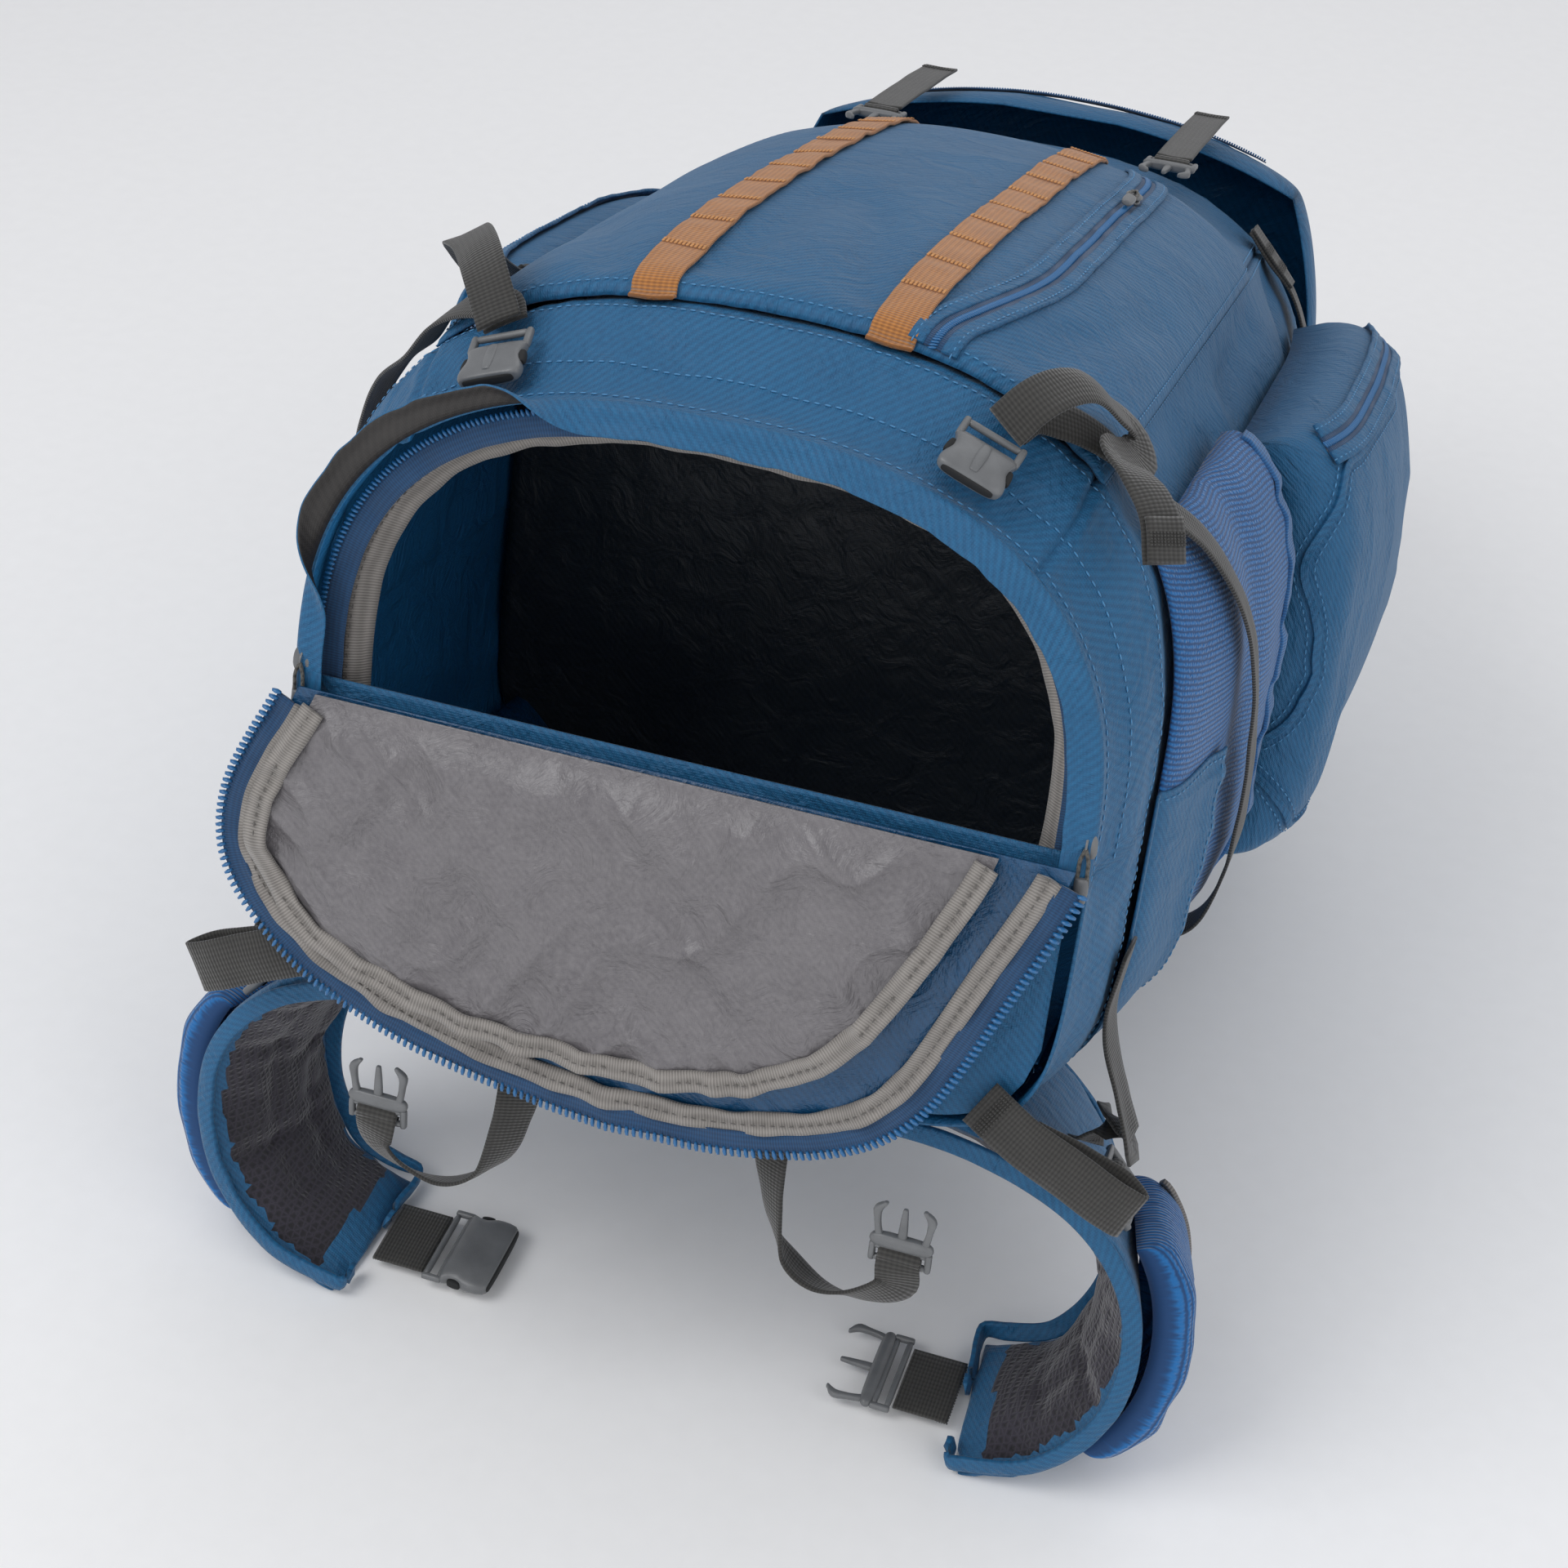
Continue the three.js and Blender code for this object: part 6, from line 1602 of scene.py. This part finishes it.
v, u = np.meshgrid(eased(150, 0.28), eased(160, 0.28), indexing="ij")
lid_cloth = grid_by_length("lid_cloth", lid_place(u, v), [pack_cloth, coated_back])
thicken(lid_cloth, 1.3, inside=1)
held(lid_cloth, "lid", "pack_cloth", "lid")


def lid_line(u, v, lift):
    """A line on the lid and the way it faces."""
    route = lid_place(u, v, lift)
    near, far = (np.clip((u + step, v + step), 0, 1) for step in (-0.002, 0.002))
    forward = lid_place(u, far[1], lift) - lid_place(u, near[1], lift)
    sideways = lid_place(far[0], v, lift) - lid_place(near[0], v, lift)
    return route, unit(np.cross(forward, sideways))


def lid_ring(reach, lift):
    """A square line with round corners on the lid's top, a share of its size out from the middle."""
    angle = np.linspace(0, 2 * math.pi, 260)
    ring_u, ring_v = (0.5 + reach * np.sign(c) * np.abs(c) ** 0.3 for c in (np.cos(angle), np.sin(angle)))
    return lid_line(ring_u, ring_v, lift)


share = np.linspace(0.1, 0.9, 130)
zip_v = np.full(130, 0.9905)
lid_tape = ribbon("lid_zip_tape", *lid_line(share, zip_v, 1.2), 14, 0.8, [navy_tape], wave=0.2)
held(lid_tape, "lid", "webbing")
bead_rows("lid_zip_coil", [lid_line(share, zip_v, 2.2)], 1.6, (1.2, 4.2, 1.4), coil_nylon, "lid", "buckle_nylon",
          turn=0.35)
lid_piping = ribbon("lid_piping", *lid_ring(0.474, 1.2), 4.5, 3, [pack_cloth], wave=0.6, seed=78)
held(lid_piping, "lid", "pack_cloth")
stitched("lid_stitches", [lid_ring(reach, 0.5) for reach in (0.462, 0.449)], "lid")
front = LID_DEPTH + LAID
for side, sign in SIDES.items():
    body = f"lid_tail_{side}"
    route = spline([(84, 662, front + 1), (84, 628, front + 1), (84, 582, front), (84, 532, front - 2)], 3)
    tail_face = np.full(route.shape, (0, 0, 1.0))
    strap(f"lid_web_{side}", flip(route, sign), tail_face, WEB, body, f"lid_strap_{side}")
    tacked(f"lid_web_tacks_{side}", tack(flip(route, sign), tail_face, 3, WEB), body)
    lie = (sign * 84, 531, LID_DEPTH - 2), (0, -1, 0), (0, 0, 1)
    moulding(f"lid_prongs_{side}", prong_parts(WEB), *lie, body, f"lid_buckle_{side}")
    threaded(f"lid_prongs_turn_{side}", *lie, WEB, body, (5.2,))


# ---- Zip sliders ----
# Die cast sliders painted grey, each with a wire bail and a puller: a loop of thin cord in a moulded grip.
def slider(name, origin, along, face, body, node):
    """A slider's two plates and post, its bail, and the puller that hangs on it."""
    parts, hollow = [], []
    loft(parts, [(0, 0, 0.9, 3.6, 0.9), (0, 3, 1.1, 4.6, 1.0), (0, 8, 1.1, 4.2, 1.0), (0, 11, 0.9, 3.4, 0.8)],
         2.6, 20)
    loft(parts, [(0, 0, -1.4, 3.4, 0.8), (0, 4, -1.4, 4.4, 0.9), (0, 11, -1.4, 3.2, 0.8)], 2.6, 20)
    loft(parts, [(0, 1, -0.3, 0.9, 1.4), (0, 10, -0.3, 0.9, 1.4)], 2.2, 10)
    # The gap between the plates: a dark loft of painted shade.
    loft(hollow, [(0, 0.6, -0.2, 3.0, 0.7), (0, 6, -0.2, 3.8, 0.7), (0, 10.4, -0.2, 2.8, 0.7)], 2.6, 14)
    arch = np.linspace(0, math.pi, 9)
    spin = np.linspace(0, 2 * math.pi, 8, endpoint=False)
    wire = 0.55
    parts.append(np.stack([np.stack([wire * np.cos(spin),
                                     5.5 - 3.6 * math.cos(t) + wire * math.cos(t) * np.sin(spin),
                                     1.8 + 1.9 * math.sin(t) + wire * math.sin(t) * np.sin(spin)], -1)
                           for t in arch]))
    moulding(name, parts, origin, along, face, body, node, dark=hollow)
    y_axis = unit(np.asarray(along, float))
    z_axis = unit(np.asarray(face, float) - np.dot(face, y_axis) * y_axis)
    x_axis = np.cross(y_axis, z_axis)
    down = [(0.0, 5.0, 3.3), (1.6, 0.5, 3.6), (1.9, -6, 3.0), (1.9, -14, 2.4), (0.0, -17, 2.3), (-1.9, -14, 2.4),
            (-1.9, -6, 3.0), (-1.6, 0.5, 3.6), (0.0, 5.0, 3.3)]
    loop = np.asarray(origin) + spline(down, 0.8) @ np.stack([x_axis, y_axis, z_axis])
    tube(name + "_cord", loop, 0.85, braid, body, sides=8)
    grip = []
    loft(grip, [(0, -20, 2.3, 2.6, 1.7), (0, -15, 2.4, 3.4, 2.1), (0, -8, 2.8, 3.0, 1.9)], 2.4, 16)
    moulding(name + "_grip", grip, origin, along, face, body)


for side, sign in SIDES.items():
    slider(f"door_zip_pull_{side}", flip((half_width(0) - 3, -3.6, DOOR_SILL + 4), sign),
           flip((-0.03, 0, 1), sign), (0, -1, 0), f"door_zip_{side}", f"door_slider_{side}")
slide_at, slide_out = front_face([352.0], [0.428])[0], out_at(352, 0.428)
slider("front_zip_pull", slide_at + slide_out * 3.4, (0, 1, 0), slide_out, "front_zip", "front_slider")


# ---- Frame sheet and stay ----
# Inside the back: a sheet of natural polyethylene, and a bent flat bar of aluminium standing on it.
polyethylene, tree, shader = new_material("natural polyethylene sheet", roughness=0.45, ior=1.5)
place = add_node(tree, "ShaderNodeTexCoord").outputs["Object"]
cloudy = add_node(tree, "ShaderNodeTexNoise", {"Vector": place, "Scale": 30.0, "Detail": 4.0})
tinted(tree, shader, cloudy.outputs["Fac"], "#C9C9C4", "#E0E0DA")
bumped(tree, shader, cloudy.outputs["Fac"], 0.4)
aluminium, tree, shader = new_material("brushed aluminium bar", roughness=0.32, metallic=1.0)
place = add_node(tree, "ShaderNodeTexCoord").outputs["Object"]
grain = add_node(tree, "ShaderNodeMapping", {"Vector": place, "Scale": (900, 12, 900)})
brushed = add_node(tree, "ShaderNodeTexNoise", {"Vector": grain.outputs["Vector"], "Scale": 1.0, "Detail": 3.0})
tinted(tree, shader, brushed.outputs["Fac"], "#9DA1A5", "#BCC0C4")
bumped(tree, shader, brushed.outputs["Fac"], 0.06)
for node, finish in (("frame_sheet", polyethylene), ("frame_stay", aluminium)):
    for finish_slot in frame["nodes"][node].material_slots:
        finish_slot.material = finish
